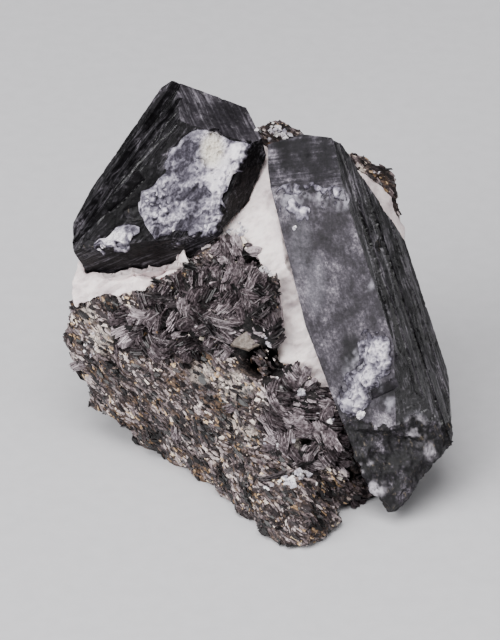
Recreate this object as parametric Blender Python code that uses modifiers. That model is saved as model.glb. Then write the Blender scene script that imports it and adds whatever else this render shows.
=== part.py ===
"""Sapphirine specimen: two dark sapphirine crystals in white calcite, on mica rock.

The specimen stands on its broken underside. It is described as seen from the front and
30 degrees above: a point is given in millimetres across, up that view, and back from its
front toe. seen() turns such a point into the part's own frame, +Z up.
"""
import math
import random

import bmesh
import bpy
from mathutils import Matrix, Vector, noise
from mathutils.bvhtree import BVHTree

MM = 0.001
VIEW_TILT = math.radians(30)
# The gap kept between touching pieces, and the wider one round a rough surface, in mm.
GAP = 0.3
ROUGH_GAP = 0.55

# How each rough piece is broken: the grain of its skin in mm, its waves as a kind of
# pattern with its size and height in mm, and about how many triangles it is given.
ROCK_SKIN = 0.9
ROCK_WAVES = [("CLOUDS", 7.0, 2.0), ("VORONOI", 4.0, 1.6), ("CLOUDS", 2.0, 0.9)]
ROCK_TRIANGLES = 2300
BACK_SKIN = 0.8
BACK_WAVES = [("CLOUDS", 5.0, 1.6), ("VORONOI", 3.0, 1.2)]
BACK_TRIANGLES = 800
CALCITE_SKIN = 0.8
CALCITE_WAVES = [("CLOUDS", 7.0, 1.6), ("VORONOI", 4.0, 0.8)]
CALCITE_TRIANGLES = 1000
FOOT_SKIN = 0.7
FOOT_WAVES = [("CLOUDS", 3.0, 1.4), ("VORONOI", 2.2, 0.8)]
FOOT_TRIANGLES = 2200
CRUST_SKIN = 0.4
CRUST_WAVE = ("CLOUDS", 1.6, 0.7)
# A crust's plate starts this far inside its crystal and is this many times as thick.
CRUST_HEIGHT = 1.1
CRUST_PLATE = 1.75
CRUST_LUMP = (0.7, 1.3)
CRUST_LUMP_LIFT = 0.55
# The room left round a rough piece: the grain of its skin, and its triangles.
ROOM_SKIN = 0.4
ROCK_ROOM_TRIANGLES = 2900
BACK_ROOM_TRIANGLES = 1200
CALCITE_ROOM_TRIANGLES = 3000
# How often a small round lump's icosahedron is divided.
ROUNDNESS = 2
# Sizes in mm of the plain blocks that things are cut from or cut with, and how far in
# front of the toe a line of sight starts.
CRYSTAL_BLOCK = 200
SLICE_TOLERANCE = 0.0001
GROUND_BLOCK = 300
STEP_BLOCK = 4
IN_FRONT = 20
# Share of a wave's height that stays where it is: above it the surface moves out.
ROCK_STILL = 0.6
CRUST_STILL = 0.45

# The two crystals: centre as seen, then each face by the turn and lean of its outward
# normal in degrees and its distance from the centre in mm.
RIGHT_CENTRE = (15.3, 44.9, 6.8)
RIGHT_FACES = [
    ("front", -28, -12, 7.0),
    ("brow", -26.5, 2, 10.7),
    ("side", 59, 14, 7.3),
    ("left", -115.5, -10.5, 7.6),
    ("left_low", -116, -18, 8.3),
    ("left_top", -116.5, -2, 10.3),
    ("roof_left", -155, 72.5, 22.5),
    ("roof_right", 133.5, 70.5, 19.3),
    ("shoulder", 100, 38.5, 11.5),
    ("back", 152, 12, 8.2),
    ("heel", 28.5, -10, 12.6),
    ("hip", 84.5, 3.5, 14.6),
    ("foot_right", 90, -33.5, 28.8),
    ("foot", 90, -63.5, 38.1),
    ("foot_left", -106.5, -46.5, 24.5),
]
LEFT_CENTRE = (-15.3, 61.4, 13.4)
LEFT_FACES = [
    ("face", -8.5, -3, 6.0),
    ("flank", -51.5, 27.5, 7.4),
    ("top", 11.5, 45.5, 12.3),
    ("cheek", 45, -20.5, 12.2),
    ("sill", 0, -56, 10.9),
    ("back", 171.5, 3, 9.0),
    ("rim_apex", -110, 64, 15.9),
    ("rim_upper", -101.5, 42, 12.9),
    ("rim_mid", -99.5, 25.5, 12.3),
    ("rim_mid_low", -100.5, 34.5, 11.1),
    ("rim_low", -98.5, -1, 16.8),
    ("rim_top", 111.5, 66, 16.2),
    ("rim_corner_top", 96, 20.5, 16.1),
    ("rim_right", 96, -20.5, 12.8),
    ("rim_right_low", 98, -43, 10.9),
    ("rim_bottom", 111, -74, 12.8),
    ("rim_corner", -96, -23.5, 19.2),
]

# Long shallow steps broken into the crystals: a point on the step's upper edge, the way
# the edge runs, the face it is cut in, the edge's length, and the step's width and depth.
LEFT_STEPS = [
    ((-21.0, 62.3), (-10.5, -10.0), "flank", 17.0, 2.2, 1.1),
    ((-17.5, 70.5), (-14.5, -19.0), "flank", 60.0, 2.0, 0.5),
    ((-20.5, 69.5), (-12.5, -18.0), "flank", 60.0, 2.4, 0.7),
]
RIGHT_STEPS = [
    ((17.0, 54.0), (7.3, -22.0), "side", 60.0, 2.0, 0.6),
    ((19.5, 53.5), (7.3, -22.0), "side", 60.0, 1.2, 0.8),
    ((23.5, 48.0), (7.3, -22.0), "side", 60.0, 1.8, 0.5),
    ((18.0, 26.0), (9.0, 4.5), "front", 16.0, 1.6, 0.45),
]
# The lower end of the right crystal is broken off roughly. These blocks, as seen, lie
# against the break.
FOOT_BREAK = {
    "right_side": [
        (30.8, 17.5, -6), (21.8, 6.2, -6), (24, -2, -6), (40, 17, -6),
        (30.8, 17.5, 26), (21.8, 6.2, 26), (24, -2, 26), (40, 17, 26),
    ],
    "left_side": [
        (14, 14.5, -6), (22, 6.2, -6), (22, -4, -6), (6, 4, -6),
        (14, 14.5, 26), (22, 6.2, 26), (22, -4, 26), (6, 4, 26),
    ],
    "front_skin": [
        (12, 20.5, 5.4), (24, 20.5, -0.1), (31.5, 17.5, 4.4), (25, 7, 1.4), (18, 7, 4.4),
        (12, 20.5, -8), (24, 20.5, -8), (32, 17.5, -8), (25, 7, -8), (18, 7, -8),
    ],
}

# Mica books, the thin stacked plates that stand out of the rock beside the calcite: the
# area they grow in, as seen, how many, and their size range in mm.
BOOK_AREA = [
    (-20, 42), (-13, 46), (-8, 48.5), (-7, 52), (-2, 51.5), (1, 46), (3, 38), (4, 32.5),
    (10, 28), (14, 20), (13, 12), (4, 14), (-3, 22), (-8, 27), (-14, 32),
]
BOOK_COUNT = 42
BOOK_LENGTH = (2.6, 4.6)
BOOK_WIDTH = (1.8, 3.2)
BOOK_THICKNESS = (0.6, 1.2)
BOOK_SEED = 4
# The way the books lie, as seen: their slope to the right and their tip, and the spread.
BOOK_SLOPE = (math.radians(-35), 0.45)
BOOK_TIP = (math.radians(25), 0.5)
BOOK_SUNK = 0.2

# The mica rock, as blocks that it bulges out in. Each is a list of corners as seen.
ROCK_BLOCKS = {
    "shoulder": [
        (-32.5, 41.5, 16.5), (-33, 39, 19), (-33.5, 34.5, 23), (-33, 32, 25), (-31.5, 28, 27),
        (-28.5, 23, 28), (-28.5, 43, 15), (-22, 42.5, 13), (-18, 43.5, 11.5), (-25.5, 36, 15),
        (-22.5, 26.5, 18), (-14, 21.5, 18), (-14, 37, 11), (-32, 40, 28), (-24.5, 24.5, 34),
    ],
    "mica_face": [
        (-19, 43.5, 12), (-12.5, 47, 10), (-8, 48, 8.5), (-8, 52.5, 8.5), (-2, 52.5, 7),
        (0, 48, 5.5), (2, 44, 4), (3.5, 37, 3.5), (3.5, 34, 4), (2.5, 32, 4.5), (-2, 42, 3.8),
        (-13.5, 37, 9), (-12, 28.5, 10.5), (-2, 28.5, 5.5), (-17.5, 42, 18), (-8, 52, 16),
        (1.5, 43.5, 13), (1.5, 28.5, 13), (-14, 25, 18),
    ],
    "knee": [
        (2.5, 32.5, 5.5), (7.5, 30.5, 5), (10.5, 25, 5), (14, 19, 6.5), (16, 14.5, 8.5),
        (16, 9, 10.5), (13.5, 7.5, 9.5), (6.5, 17, 4), (3, 25, 4.5), (-4, 20, 6),
        (-5, 28, 6), (6.5, 8.5, 4.5), (6.5, 25, 14), (16, 15, 16), (15, 8, 14), (22, 8, 18),
        (-4, 28, 14),
    ],
    "toe": [
        (-10, 11.5, 20), (-7, 10, 15), (-4, 6, 9.5), (-1.5, 4, 6), (0, 2.5, 3.5), (1.5, 1, 1),
        (4.5, 0.5, 0.5), (7.5, 0, 0), (8.5, 2.5, 0), (10.5, 2, 3), (12, 4, 4), (12.5, 6.5, 7),
        (14, 8, 9.5), (6.5, 13.5, 2), (-2, 15, 5), (-7, 18.5, 9.5), (6.5, 5.5, -1),
        (5, 1, 8), (8, 4, 14),
    ],
    "belly": [
        (-33.5, 34.5, 24), (-31.5, 28, 27.5), (-28.5, 23, 29), (-23.5, 20.5, 28),
        (-19, 17.5, 27), (-16.5, 15.5, 25), (-12.5, 14, 22.5), (-10, 11.5, 20),
        (-22.5, 31.5, 14), (-17.5, 21.5, 17), (-8.5, 18.5, 11), (-2, 15, 8), (-7, 37, 8.5),
        (-0.5, 28.5, 6.5), (-12, 35, 10), (-15, 14.5, 30), (-2, 6, 14),
    ],
}
# The hidden back and underside of the rock, in the part's own frame.
HIDDEN_BLOCKS = {
    "heel": [
        (-26, 37, 6), (-20, 33, -1.5), (-8, 24, -1.5), (4, 8, -1), (12, 12, -1), (16, 30, -1.5),
        (10, 40, -1.5), (-12, 43, -1.5), (-24, 45, 9), (14, 44, 12), (-4, 47, 12),
        (-24, 40, 20), (12, 34, 20), (-6, 26, 16),
    ],
    "spine": [
        (-29, 45, 23), (-28, 49, 24), (-20, 53, 26), (-6, 55, 28), (4, 54, 29), (12, 47, 24),
        (-24, 45, 9), (-4, 48, 12), (12, 44, 12), (-20, 40, 24), (6, 36, 22), (-2, 50, 33),
    ],
    "back_knob": [
        (-24, 44, 14), (-18, 47, 8), (-10, 50, 12), (-10, 54, 21), (-20, 53, 24),
        (-25, 48, 22), (-8, 46, 26), (-14, 42, 6),
    ],
    "back_ledge": [
        (-2, 45, 2), (10, 42, 1), (14, 46, 9), (4, 50.5, 8), (-3, 49, 10), (8, 47, 16),
        (12, 42, 18),
    ],
}
# The small dark pocket beside the calcite: its middle as seen, radii in mm and slope.
POCKET_CENTRE = (1.5, 31.5, 3.5)
POCKET_RADII = (2.8, 2.0, 3.4)
POCKET_TURN = math.radians(-30)
POCKET_WAVE = (0.25, 1.7)

# White calcite, which fills the space between and behind the crystals.
CALCITE_BLOCKS = {
    "bed": [
        (-32.5, 41, 16), (-32, 45, 15.5), (-31, 48.5, 16.5), (0, 68.5, 13.5), (1, 67, 10.5),
        (4, 49, 5.5), (7.5, 37, 6.5), (14.5, 19, 7.5), (6.5, 20, 13), (-14, 37, 14.5),
        (-32, 43.5, 29), (-28, 55, 29), (0, 69.5, 22), (11.5, 60.5, 22), (20, 25, 22),
        (-10.5, 24.5, 28),
    ],
    "behind_left": [
        (-28, 54, 22), (-12, 64, 23), (-2, 62, 22), (-24, 52, 33), (-8, 55, 34),
        (-15, 61, 29), (0, 52, 31), (-20, 44, 33), (-4, 46, 33),
    ],
    "behind_right": [
        (6.5, 69, 14), (16.5, 63.3, 17.5), (19.5, 62.6, 17.8), (23.4, 58.3, 18.6),
        (24.7, 52.5, 18.6),
        (24, 50.5, 16), (20, 25, 20), (11.5, 62.5, 26), (23.5, 49, 24), (17, 19.5, 24),
        (5, 42, 24),
    ],
}
# A second lump of mica rock, seen above and behind the crystals.
BACK_BLOCKS = {
    "crest": [
        (-2, 70.5, 15), (3, 72.5, 16), (7, 70, 14), (6, 66, 14), (-4, 62, 26), (6, 67, 28),
        (12, 66, 22), (4, 56, 28),
    ],
    "shoulder": [
        (10, 67, 22), (15.5, 67.4, 19), (18.5, 66.5, 18.8), (22, 64.5, 19.2), (24, 61.2, 19.8),
        (24.2, 57.5, 21.5), (24, 53, 23), (18, 60, 30), (22, 50, 31), (6, 66, 28), (4, 54, 32),
        (18, 44, 30),
    ],
}

# White crusts on the crystals: the face each sits on and its outline, across and up.
LEFT_CRUST = [
    (-10.5, 70.5), (-7.5, 69.5), (-4.5, 68), (-2, 68), (-2.5, 66), (-5, 62.5), (-7, 58.5),
    (-7, 55.5), (-8, 53.5), (-12.5, 51), (-16.5, 50.5), (-19.5, 54.5), (-20.5, 58),
    (-19, 60), (-16, 63), (-14.5, 66.5), (-13, 69),
]
LEFT_PATCH = [
    (-27.5, 51), (-26, 52), (-22.5, 53.5), (-21, 54), (-22, 52), (-23.5, 49.5), (-25, 50),
]
RIGHT_UPPER_CRUST = [
    (2.5, 60), (3.5, 61), (5.5, 61), (7, 60.5), (10, 60), (13.5, 59.5), (13.5, 57.5),
    (11.5, 56.5), (8.5, 58), (6.5, 55), (5, 54), (3.5, 56),
]
RIGHT_LOWER_CRUST = [
    (17, 37), (18.5, 36.5), (20.5, 35), (21.5, 32), (21.5, 30), (19, 28.5), (18, 27.5),
    (17.5, 24.5), (16, 22.5), (13.5, 23.5), (13.5, 27), (15, 29.5), (16.5, 32), (16.5, 34),
]
# Each crust: its crystal and face, its outline, how many lumps it has, the seed that
# places them, and about how many triangles it is given.
CRUSTS = {
    "left_crust": ("left", "face", LEFT_CRUST, 90, 3, 700),
    "left_patch": ("left", "face", LEFT_PATCH, 16, 5, 200),
    "right_upper_crust": ("right", "brow", RIGHT_UPPER_CRUST, 40, 7, 450),
    "right_lower_crust": ("right", "front", RIGHT_LOWER_CRUST, 46, 11, 500),
}
CRYSTALS = {"left": (LEFT_CENTRE, LEFT_FACES), "right": (RIGHT_CENTRE, RIGHT_FACES)}

COLOURS = {
    "sapphirine": ((0.045, 0.043, 0.052), 0.32),
    "calcite": ((0.78, 0.70, 0.71), 0.55),
    "mica_rock": ((0.14, 0.12, 0.12), 0.6),
    "crust": ((0.55, 0.53, 0.60), 0.5),
}


def seen(across, up, back):
    """A point in the part's own frame, from millimetres across, up the view and back."""
    return Vector((
        across,
        up * math.sin(VIEW_TILT) + back * math.cos(VIEW_TILT),
        up * math.cos(VIEW_TILT) - back * math.sin(VIEW_TILT),
    )) * MM


def facing(turn, lean):
    """The direction a face looks: turned to the right and leant upwards, as seen."""
    turn = math.radians(turn)
    lean = math.radians(lean)
    towards = math.cos(turn) * math.cos(lean)
    return seen(math.sin(turn) * math.cos(lean), math.sin(lean), -towards).normalized()


def face_plane(centre, faces, name):
    """A point on a named crystal face, and the face's normal."""
    for face_name, turn, lean, distance in faces:
        if face_name == name:
            normal = facing(turn, lean)
            return seen(*centre) + normal * distance * MM, normal
    raise KeyError(name)


def on_face(centre, faces, name, across, up):
    """The point of a crystal face that is seen at this place."""
    point, normal = face_plane(centre, faces, name)
    start = seen(across, up, 0)
    line_of_sight = seen(0, 0, 1)
    steps = (point - start).dot(normal) / line_of_sight.dot(normal)
    return start + line_of_sight * steps


def new_object(name, shape, collection):
    """A mesh object from a finished bmesh."""
    mesh = bpy.data.meshes.new(name)
    shape.to_mesh(mesh)
    shape.free()
    thing = bpy.data.objects.new(name, mesh)
    collection.objects.link(thing)
    return thing


def apply_modifiers(thing):
    """Keeps the mesh that the modifiers give, and removes them."""
    graph = bpy.context.evaluated_depsgraph_get()
    mesh = bpy.data.meshes.new_from_object(thing.evaluated_get(graph))
    thing.modifiers.clear()
    old = thing.data
    thing.data = mesh
    bpy.data.meshes.remove(old)


def keep_largest(thing):
    """Removes crumbs that a cut has parted from the main body."""
    shape = bmesh.new()
    shape.from_mesh(thing.data)
    left = set(shape.verts)
    bodies = []
    while left:
        body = [left.pop()]
        for vert in body:
            for edge in vert.link_edges:
                other = edge.other_vert(vert)
                if other in left:
                    left.remove(other)
                    body.append(other)
        bodies.append(body)
    bodies.sort(key=len)
    for body in bodies[:-1]:
        bmesh.ops.delete(shape, geom=body, context="VERTS")
    shape.to_mesh(thing.data)
    shape.free()


def faces_tree(thing):
    """The faces of an object, ready to be tested against another's."""
    shape = bmesh.new()
    shape.from_mesh(thing.data)
    tree = BVHTree.FromBMesh(shape)
    shape.free()
    return tree


def cut(thing, cutter, solver="EXACT", operation="DIFFERENCE"):
    """Takes one object out of another where they cross, and keeps the main body."""
    if not faces_tree(thing).overlap(faces_tree(cutter)):
        return
    boolean = thing.modifiers.new("cut", "BOOLEAN")
    boolean.operation = operation
    boolean.solver = solver
    boolean.object = cutter
    apply_modifiers(thing)
    keep_largest(thing)


def as_cutter(thing):
    """Marks a guide that isn't part of the specimen."""
    thing.hide_render = True
    thing.display_type = "WIRE"
    return thing


def crystal(name, centre, faces, collection, grow=0.0):
    """A block cut along each crystal face. grow moves every face outwards."""
    shape = bmesh.new()
    middle = seen(*centre)
    bmesh.ops.create_cube(shape, size=CRYSTAL_BLOCK * MM, matrix=Matrix.Translation(middle))
    for _, turn, lean, distance in faces:
        normal = facing(turn, lean)
        everything = shape.verts[:] + shape.edges[:] + shape.faces[:]
        sliced = bmesh.ops.bisect_plane(
            shape, geom=everything, dist=SLICE_TOLERANCE * MM, clear_outer=True,
            plane_co=middle + normal * (distance + grow) * MM, plane_no=normal)
        rim = [part for part in sliced["geom_cut"] if isinstance(part, bmesh.types.BMEdge)]
        if rim:
            bmesh.ops.contextual_create(shape, geom=rim)
    bmesh.ops.recalc_face_normals(shape, faces=shape.faces[:])
    return new_object(name, shape, collection)


def step_cutter(name, centre, faces, step, collection):
    """A long thin block, tipped so that it bites a ledge out of a crystal face."""
    place, run, face_name, length, width, depth = step
    start = on_face(centre, faces, face_name, *place)
    end = on_face(centre, faces, face_name, place[0] + run[0], place[1] + run[1])
    normal = face_plane(centre, faces, face_name)[1]
    along = (end - start).normalized()
    sideways = normal.cross(along)
    bite = math.atan2(depth, width)
    turn = Matrix((along, sideways, normal)).transposed()
    turn = (turn @ Matrix.Rotation(bite, 3, "X")).to_4x4()
    shape = bmesh.new()
    bmesh.ops.create_cube(shape, size=1.0)
    size = Matrix.Diagonal((length * MM, width * MM, STEP_BLOCK * MM, 1))
    lift = Matrix.Translation((0, 0, (STEP_BLOCK / 2 - depth) * MM))
    middle = Matrix.Translation((start + end) / 2)
    bmesh.ops.transform(shape, matrix=middle @ turn @ lift @ size, verts=shape.verts)
    return as_cutter(new_object(name, shape, collection))


def hull(shape, corners):
    """Adds the smallest solid that holds all the corners."""
    verts = [shape.verts.new(corner) for corner in corners]
    result = bmesh.ops.convex_hull(shape, input=verts)
    inside = [part for part in result["geom_interior"] if isinstance(part, bmesh.types.BMVert)]
    bmesh.ops.delete(shape, geom=inside, context="VERTS")


def roughen(thing, kind, size, height, still=ROCK_STILL):
    """Moves the surface by a rock-like pattern of this size in mm, inwards below still."""
    texture = bpy.data.textures.new(thing.name + "_" + kind.lower(), kind)
    texture.noise_scale = size * MM
    bump = thing.modifiers.new(kind.lower(), "DISPLACE")
    bump.texture = texture
    bump.texture_coords = "LOCAL"
    bump.strength = height * MM
    bump.mid_level = still


def rough_mass(name, blocks, collection, voxel, waves, triangles):
    """Blocks grown into one mass with a broken surface, kept to a number of triangles."""
    shape = bmesh.new()
    for corners in blocks:
        hull(shape, corners)
    mass = new_object(name, shape, collection)
    remesh = mass.modifiers.new("one_skin", "REMESH")
    remesh.mode = "VOXEL"
    remesh.voxel_size = voxel * MM
    for kind, size, height in waves:
        roughen(mass, kind, size, height)
    apply_modifiers(mass)
    keep_largest(mass)
    thin_out(mass, triangles)
    return mass


def thin_out(thing, triangles):
    """Reduces a mesh to about this many triangles."""
    count = sum(len(face.vertices) - 2 for face in thing.data.polygons)
    fewer = thing.modifiers.new("fewer", "DECIMATE")
    fewer.ratio = min(1.0, triangles / count)
    fewer.use_collapse_triangulate = True
    apply_modifiers(thing)
    keep_largest(thing)


def grown(thing, collection, triangles):
    """A copy of a rough piece, swollen by the gap that is left around it, in one skin."""
    copy = thing.copy()
    copy.data = thing.data.copy()
    copy.name = thing.name + "_room"
    collection.objects.link(copy)
    swell = copy.modifiers.new("swell", "DISPLACE")
    swell.strength = ROUGH_GAP * MM
    swell.mid_level = 0.0
    remesh = copy.modifiers.new("one_skin", "REMESH")
    remesh.mode = "VOXEL"
    remesh.voxel_size = ROOM_SKIN * MM
    apply_modifiers(copy)
    keep_largest(copy)
    thin_out(copy, triangles)
    return as_cutter(copy)


def inside_outline(place, outline):
    """Whether a place, across and up, lies inside an outline."""
    inside = False
    for (x1, y1), (x2, y2) in zip(outline, outline[1:] + outline[:1]):
        if (y1 > place[1]) != (y2 > place[1]):
            if place[0] < x1 + (place[1] - y1) / (y2 - y1) * (x2 - x1):
                inside = not inside
    return inside


def place_inside(outline, chance):
    """A place picked by chance inside an outline."""
    low = [min(place[axis] for place in outline) for axis in (0, 1)]
    high = [max(place[axis] for place in outline) for axis in (0, 1)]
    while True:
        place = (chance.uniform(low[0], high[0]), chance.uniform(low[1], high[1]))
        if inside_outline(place, outline):
            return place


def mica_books(name, rock, collection):
    """Small thin blocks that stand out of the rock where its mica is coarse."""
    chance = random.Random(BOOK_SEED)
    tree = faces_tree(rock)
    away = seen(0, 0, 1).normalized()
    shape = bmesh.new()
    for _ in range(BOOK_COUNT):
        place = place_inside(BOOK_AREA, chance)
        hit, normal, _, _ = tree.ray_cast(seen(*place, -IN_FRONT), away)
        sizes = [chance.uniform(*pair) * MM for pair in (BOOK_LENGTH, BOOK_WIDTH, BOOK_THICKNESS)]
        turn = Matrix.Rotation(VIEW_TILT, 4, "X")
        turn = turn @ Matrix.Rotation(chance.gauss(*BOOK_SLOPE), 4, "Y")
        turn = turn @ Matrix.Rotation(chance.gauss(*BOOK_TIP), 4, "X")
        size = Matrix.Diagonal((*sizes, 1))
        middle = Matrix.Translation(hit - normal * BOOK_SUNK * MM)
        bmesh.ops.create_cube(shape, size=1.0, matrix=middle @ turn @ size)
    return as_cutter(new_object(name, shape, collection))


def crust(name, collection):
    """A lumpy crust: a low plate with its outline, and small round lumps all over it."""
    side, face_name, outline, lumps, seed, triangles = CRUSTS[name]
    centre, faces = CRYSTALS[side]
    normal = face_plane(centre, faces, face_name)[1]
    rim = [on_face(centre, faces, face_name, *place) for place in outline]
    shape = bmesh.new()
    corners = [shape.verts.new(point - normal * CRUST_HEIGHT * MM) for point in rim]
    plate = shape.faces.new(corners)
    raised = bmesh.ops.extrude_face_region(shape, geom=[plate])
    top = [part for part in raised["geom"] if isinstance(part, bmesh.types.BMVert)]
    bmesh.ops.translate(shape, verts=top, vec=normal * CRUST_HEIGHT * CRUST_PLATE * MM)
    bmesh.ops.recalc_face_normals(shape, faces=shape.faces[:])
    chance = random.Random(seed)
    for _ in range(lumps):
        place = on_face(centre, faces, face_name, *place_inside(outline, chance))
        place = place + normal * chance.uniform(0.0, CRUST_LUMP_LIFT) * MM
        bmesh.ops.create_icosphere(
            shape, subdivisions=ROUNDNESS, radius=chance.uniform(*CRUST_LUMP) * MM,
            matrix=Matrix.Translation(place))
    mass = new_object(name, shape, collection)
    remesh = mass.modifiers.new("one_skin", "REMESH")
    remesh.mode = "VOXEL"
    remesh.voxel_size = CRUST_SKIN * MM
    roughen(mass, *CRUST_WAVE, CRUST_STILL)
    apply_modifiers(mass)
    keep_largest(mass)
    thin_out(mass, triangles)
    return mass


def material(name):
    """A plain material of this mineral's colour and shine."""
    colour, roughness = COLOURS[name]
    made = bpy.data.materials.new(name)
    made.use_nodes = True
    shader = made.node_tree.nodes["Principled BSDF"]
    shader.inputs["Base Color"].default_value = (*colour, 1)
    shader.inputs["Roughness"].default_value = roughness
    shader.inputs["Metallic"].default_value = 0
    return made


def stand(parts):
    """Moves the specimen so that the middle of its box's base is at the origin."""
    corners = [vert.co for part in parts for vert in part.data.vertices]
    low = Vector([min(point[axis] for point in corners) for axis in range(3)])
    high = Vector([max(point[axis] for point in corners) for axis in range(3)])
    shift = Vector(((low.x + high.x) / 2, (low.y + high.y) / 2, low.z))
    for part in parts:
        part.data.transform(Matrix.Translation(-shift))
    return shift


def build():
    for thing in list(bpy.data.objects):
        bpy.data.objects.remove(thing, do_unlink=True)
    specimen = bpy.data.collections.new("sapphirine_specimen")
    cutters = bpy.data.collections.new("cutters")
    for collection in (specimen, cutters):
        bpy.context.scene.collection.children.link(collection)

    shape = bmesh.new()
    below = Matrix.Translation((0, 0, -GROUND_BLOCK * MM / 2))
    bmesh.ops.create_cube(shape, size=GROUND_BLOCK * MM, matrix=below)
    ground = as_cutter(new_object("ground_cut", shape, cutters))

    right = crystal("right_crystal", RIGHT_CENTRE, RIGHT_FACES, specimen)
    right_room = as_cutter(crystal("right_room", RIGHT_CENTRE, RIGHT_FACES, cutters, GAP))
    left = crystal("left_crystal", LEFT_CENTRE, LEFT_FACES, specimen)
    left_room = as_cutter(crystal("left_room", LEFT_CENTRE, LEFT_FACES, cutters, GAP))
    for number, step in enumerate(LEFT_STEPS):
        name = "left_step_%d" % number
        cut(left, step_cutter(name, LEFT_CENTRE, LEFT_FACES, step, cutters))
    for number, step in enumerate(RIGHT_STEPS):
        name = "right_step_%d" % number
        cut(right, step_cutter(name, RIGHT_CENTRE, RIGHT_FACES, step, cutters))
    foot_blocks = [[seen(*corner) for corner in block] for block in FOOT_BREAK.values()]
    foot = rough_mass("foot_break", foot_blocks, cutters, FOOT_SKIN, FOOT_WAVES, FOOT_TRIANGLES)
    cut(right, as_cutter(foot))

    rock_blocks = [[seen(*corner) for corner in block] for block in ROCK_BLOCKS.values()]
    rock_blocks += [[Vector(corner) * MM for corner in block] for block in HIDDEN_BLOCKS.values()]
    rock = rough_mass("mica_rock", rock_blocks, specimen, ROCK_SKIN, ROCK_WAVES, ROCK_TRIANGLES)
    shape = bmesh.new()
    bmesh.ops.create_icosphere(shape, subdivisions=ROUNDNESS, radius=1.0)
    for vert in shape.verts:
        vert.co *= 1 + POCKET_WAVE[0] * noise.noise(vert.co * POCKET_WAVE[1])
    stretch = Matrix.Diagonal([radius * MM for radius in POCKET_RADII]).to_4x4()
    turn = Matrix.Rotation(VIEW_TILT, 4, "X") @ Matrix.Rotation(POCKET_TURN, 4, "Y")
    place = Matrix.Translation(seen(*POCKET_CENTRE))
    bmesh.ops.transform(shape, matrix=place @ turn @ stretch, verts=shape.verts)
    cut(rock, mica_books("mica_books", rock, cutters), "MANIFOLD", "UNION")
    cut(rock, as_cutter(new_object("pocket", shape, cutters)), "MANIFOLD")

    back_blocks = [[seen(*corner) for corner in block] for block in BACK_BLOCKS.values()]
    back_rock = rough_mass(
        "back_mica_rock", back_blocks, specimen, BACK_SKIN, BACK_WAVES, BACK_TRIANGLES)

    calcite_blocks = [[seen(*corner) for corner in block] for block in CALCITE_BLOCKS.values()]
    calcite = rough_mass(
        "calcite", calcite_blocks, specimen, CALCITE_SKIN, CALCITE_WAVES, CALCITE_TRIANGLES)

    crusts = [crust(name, specimen) for name in CRUSTS]

    for mass in (rock, back_rock, calcite, *crusts):
        cut(mass, right_room)
        cut(mass, left_room)
    rock_room = grown(rock, cutters, ROCK_ROOM_TRIANGLES)
    for mass in (back_rock, calcite, *crusts):
        cut(mass, rock_room, "MANIFOLD")
    back_room = grown(back_rock, cutters, BACK_ROOM_TRIANGLES)
    cut(calcite, back_room, "MANIFOLD")
    calcite_room = grown(calcite, cutters, CALCITE_ROOM_TRIANGLES)
    for mass in crusts:
        cut(mass, calcite_room, "MANIFOLD")
    for mass in (rock, right, calcite):
        cut(mass, ground)

    parts = [right, left, rock, back_rock, calcite, *crusts]
    minerals = ["sapphirine", "sapphirine", "mica_rock", "mica_rock", "calcite"]
    minerals += ["crust"] * len(crusts)
    made = {name: material(name) for name in COLOURS}
    for part, mineral in zip(parts, minerals):
        part.data.materials.clear()
        part.data.materials.append(made[mineral])
    shift = stand(parts)
    print("the middle of the base from the toe, mm:", [round(value / MM, 3) for value in shift])


build()
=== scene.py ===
"""Sapphirine specimen: dark crystals in white calcite on mica rock, finished for the eye.

Places are in millimetres as seen from the front and 30 degrees above: across, up the view,
and back from the front toe. The mesh work is in metres, in the frame's own axes.
"""
import math
import random

import bmesh
import bpy
import numpy as np
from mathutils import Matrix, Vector, noise
from mathutils.bvhtree import BVHTree
from mathutils.kdtree import KDTree


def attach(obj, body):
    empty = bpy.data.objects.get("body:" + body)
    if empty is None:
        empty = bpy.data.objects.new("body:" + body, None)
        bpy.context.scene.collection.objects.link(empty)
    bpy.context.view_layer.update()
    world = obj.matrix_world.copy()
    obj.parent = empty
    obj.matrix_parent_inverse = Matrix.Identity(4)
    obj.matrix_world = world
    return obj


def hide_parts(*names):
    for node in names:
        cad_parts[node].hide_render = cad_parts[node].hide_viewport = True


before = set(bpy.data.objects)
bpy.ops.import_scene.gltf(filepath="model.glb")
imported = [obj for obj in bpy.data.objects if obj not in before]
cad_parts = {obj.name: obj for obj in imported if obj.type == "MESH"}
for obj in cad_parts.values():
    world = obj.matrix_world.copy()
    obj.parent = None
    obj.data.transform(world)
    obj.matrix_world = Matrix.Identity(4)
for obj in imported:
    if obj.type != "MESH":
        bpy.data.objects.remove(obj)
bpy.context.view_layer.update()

# Without a seed, noise vectors would start from the clock.
noise.seed_set(3)

MM = 0.001
VIEW_TILT = math.radians(30)
# The middle of the base, in mm from the front toe.
BASE_MIDDLE = np.array((-0.879, 29.182, 0.0))

# The camera looks along +Y from 30 degrees above, at this place, from this far, and
# shows six pixels for each millimetre there.
AIM = (-2.0, 38.5, 5.0)
CAMERA_DISTANCE = 700.0
PIXELS_PER_MM = 6.0
PICTURE_HEIGHT = 640
SENSOR = 36.0
# Lines of sight that look for a surface start here, in mm back from the toe.
SIGHT_START = -20.0

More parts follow.
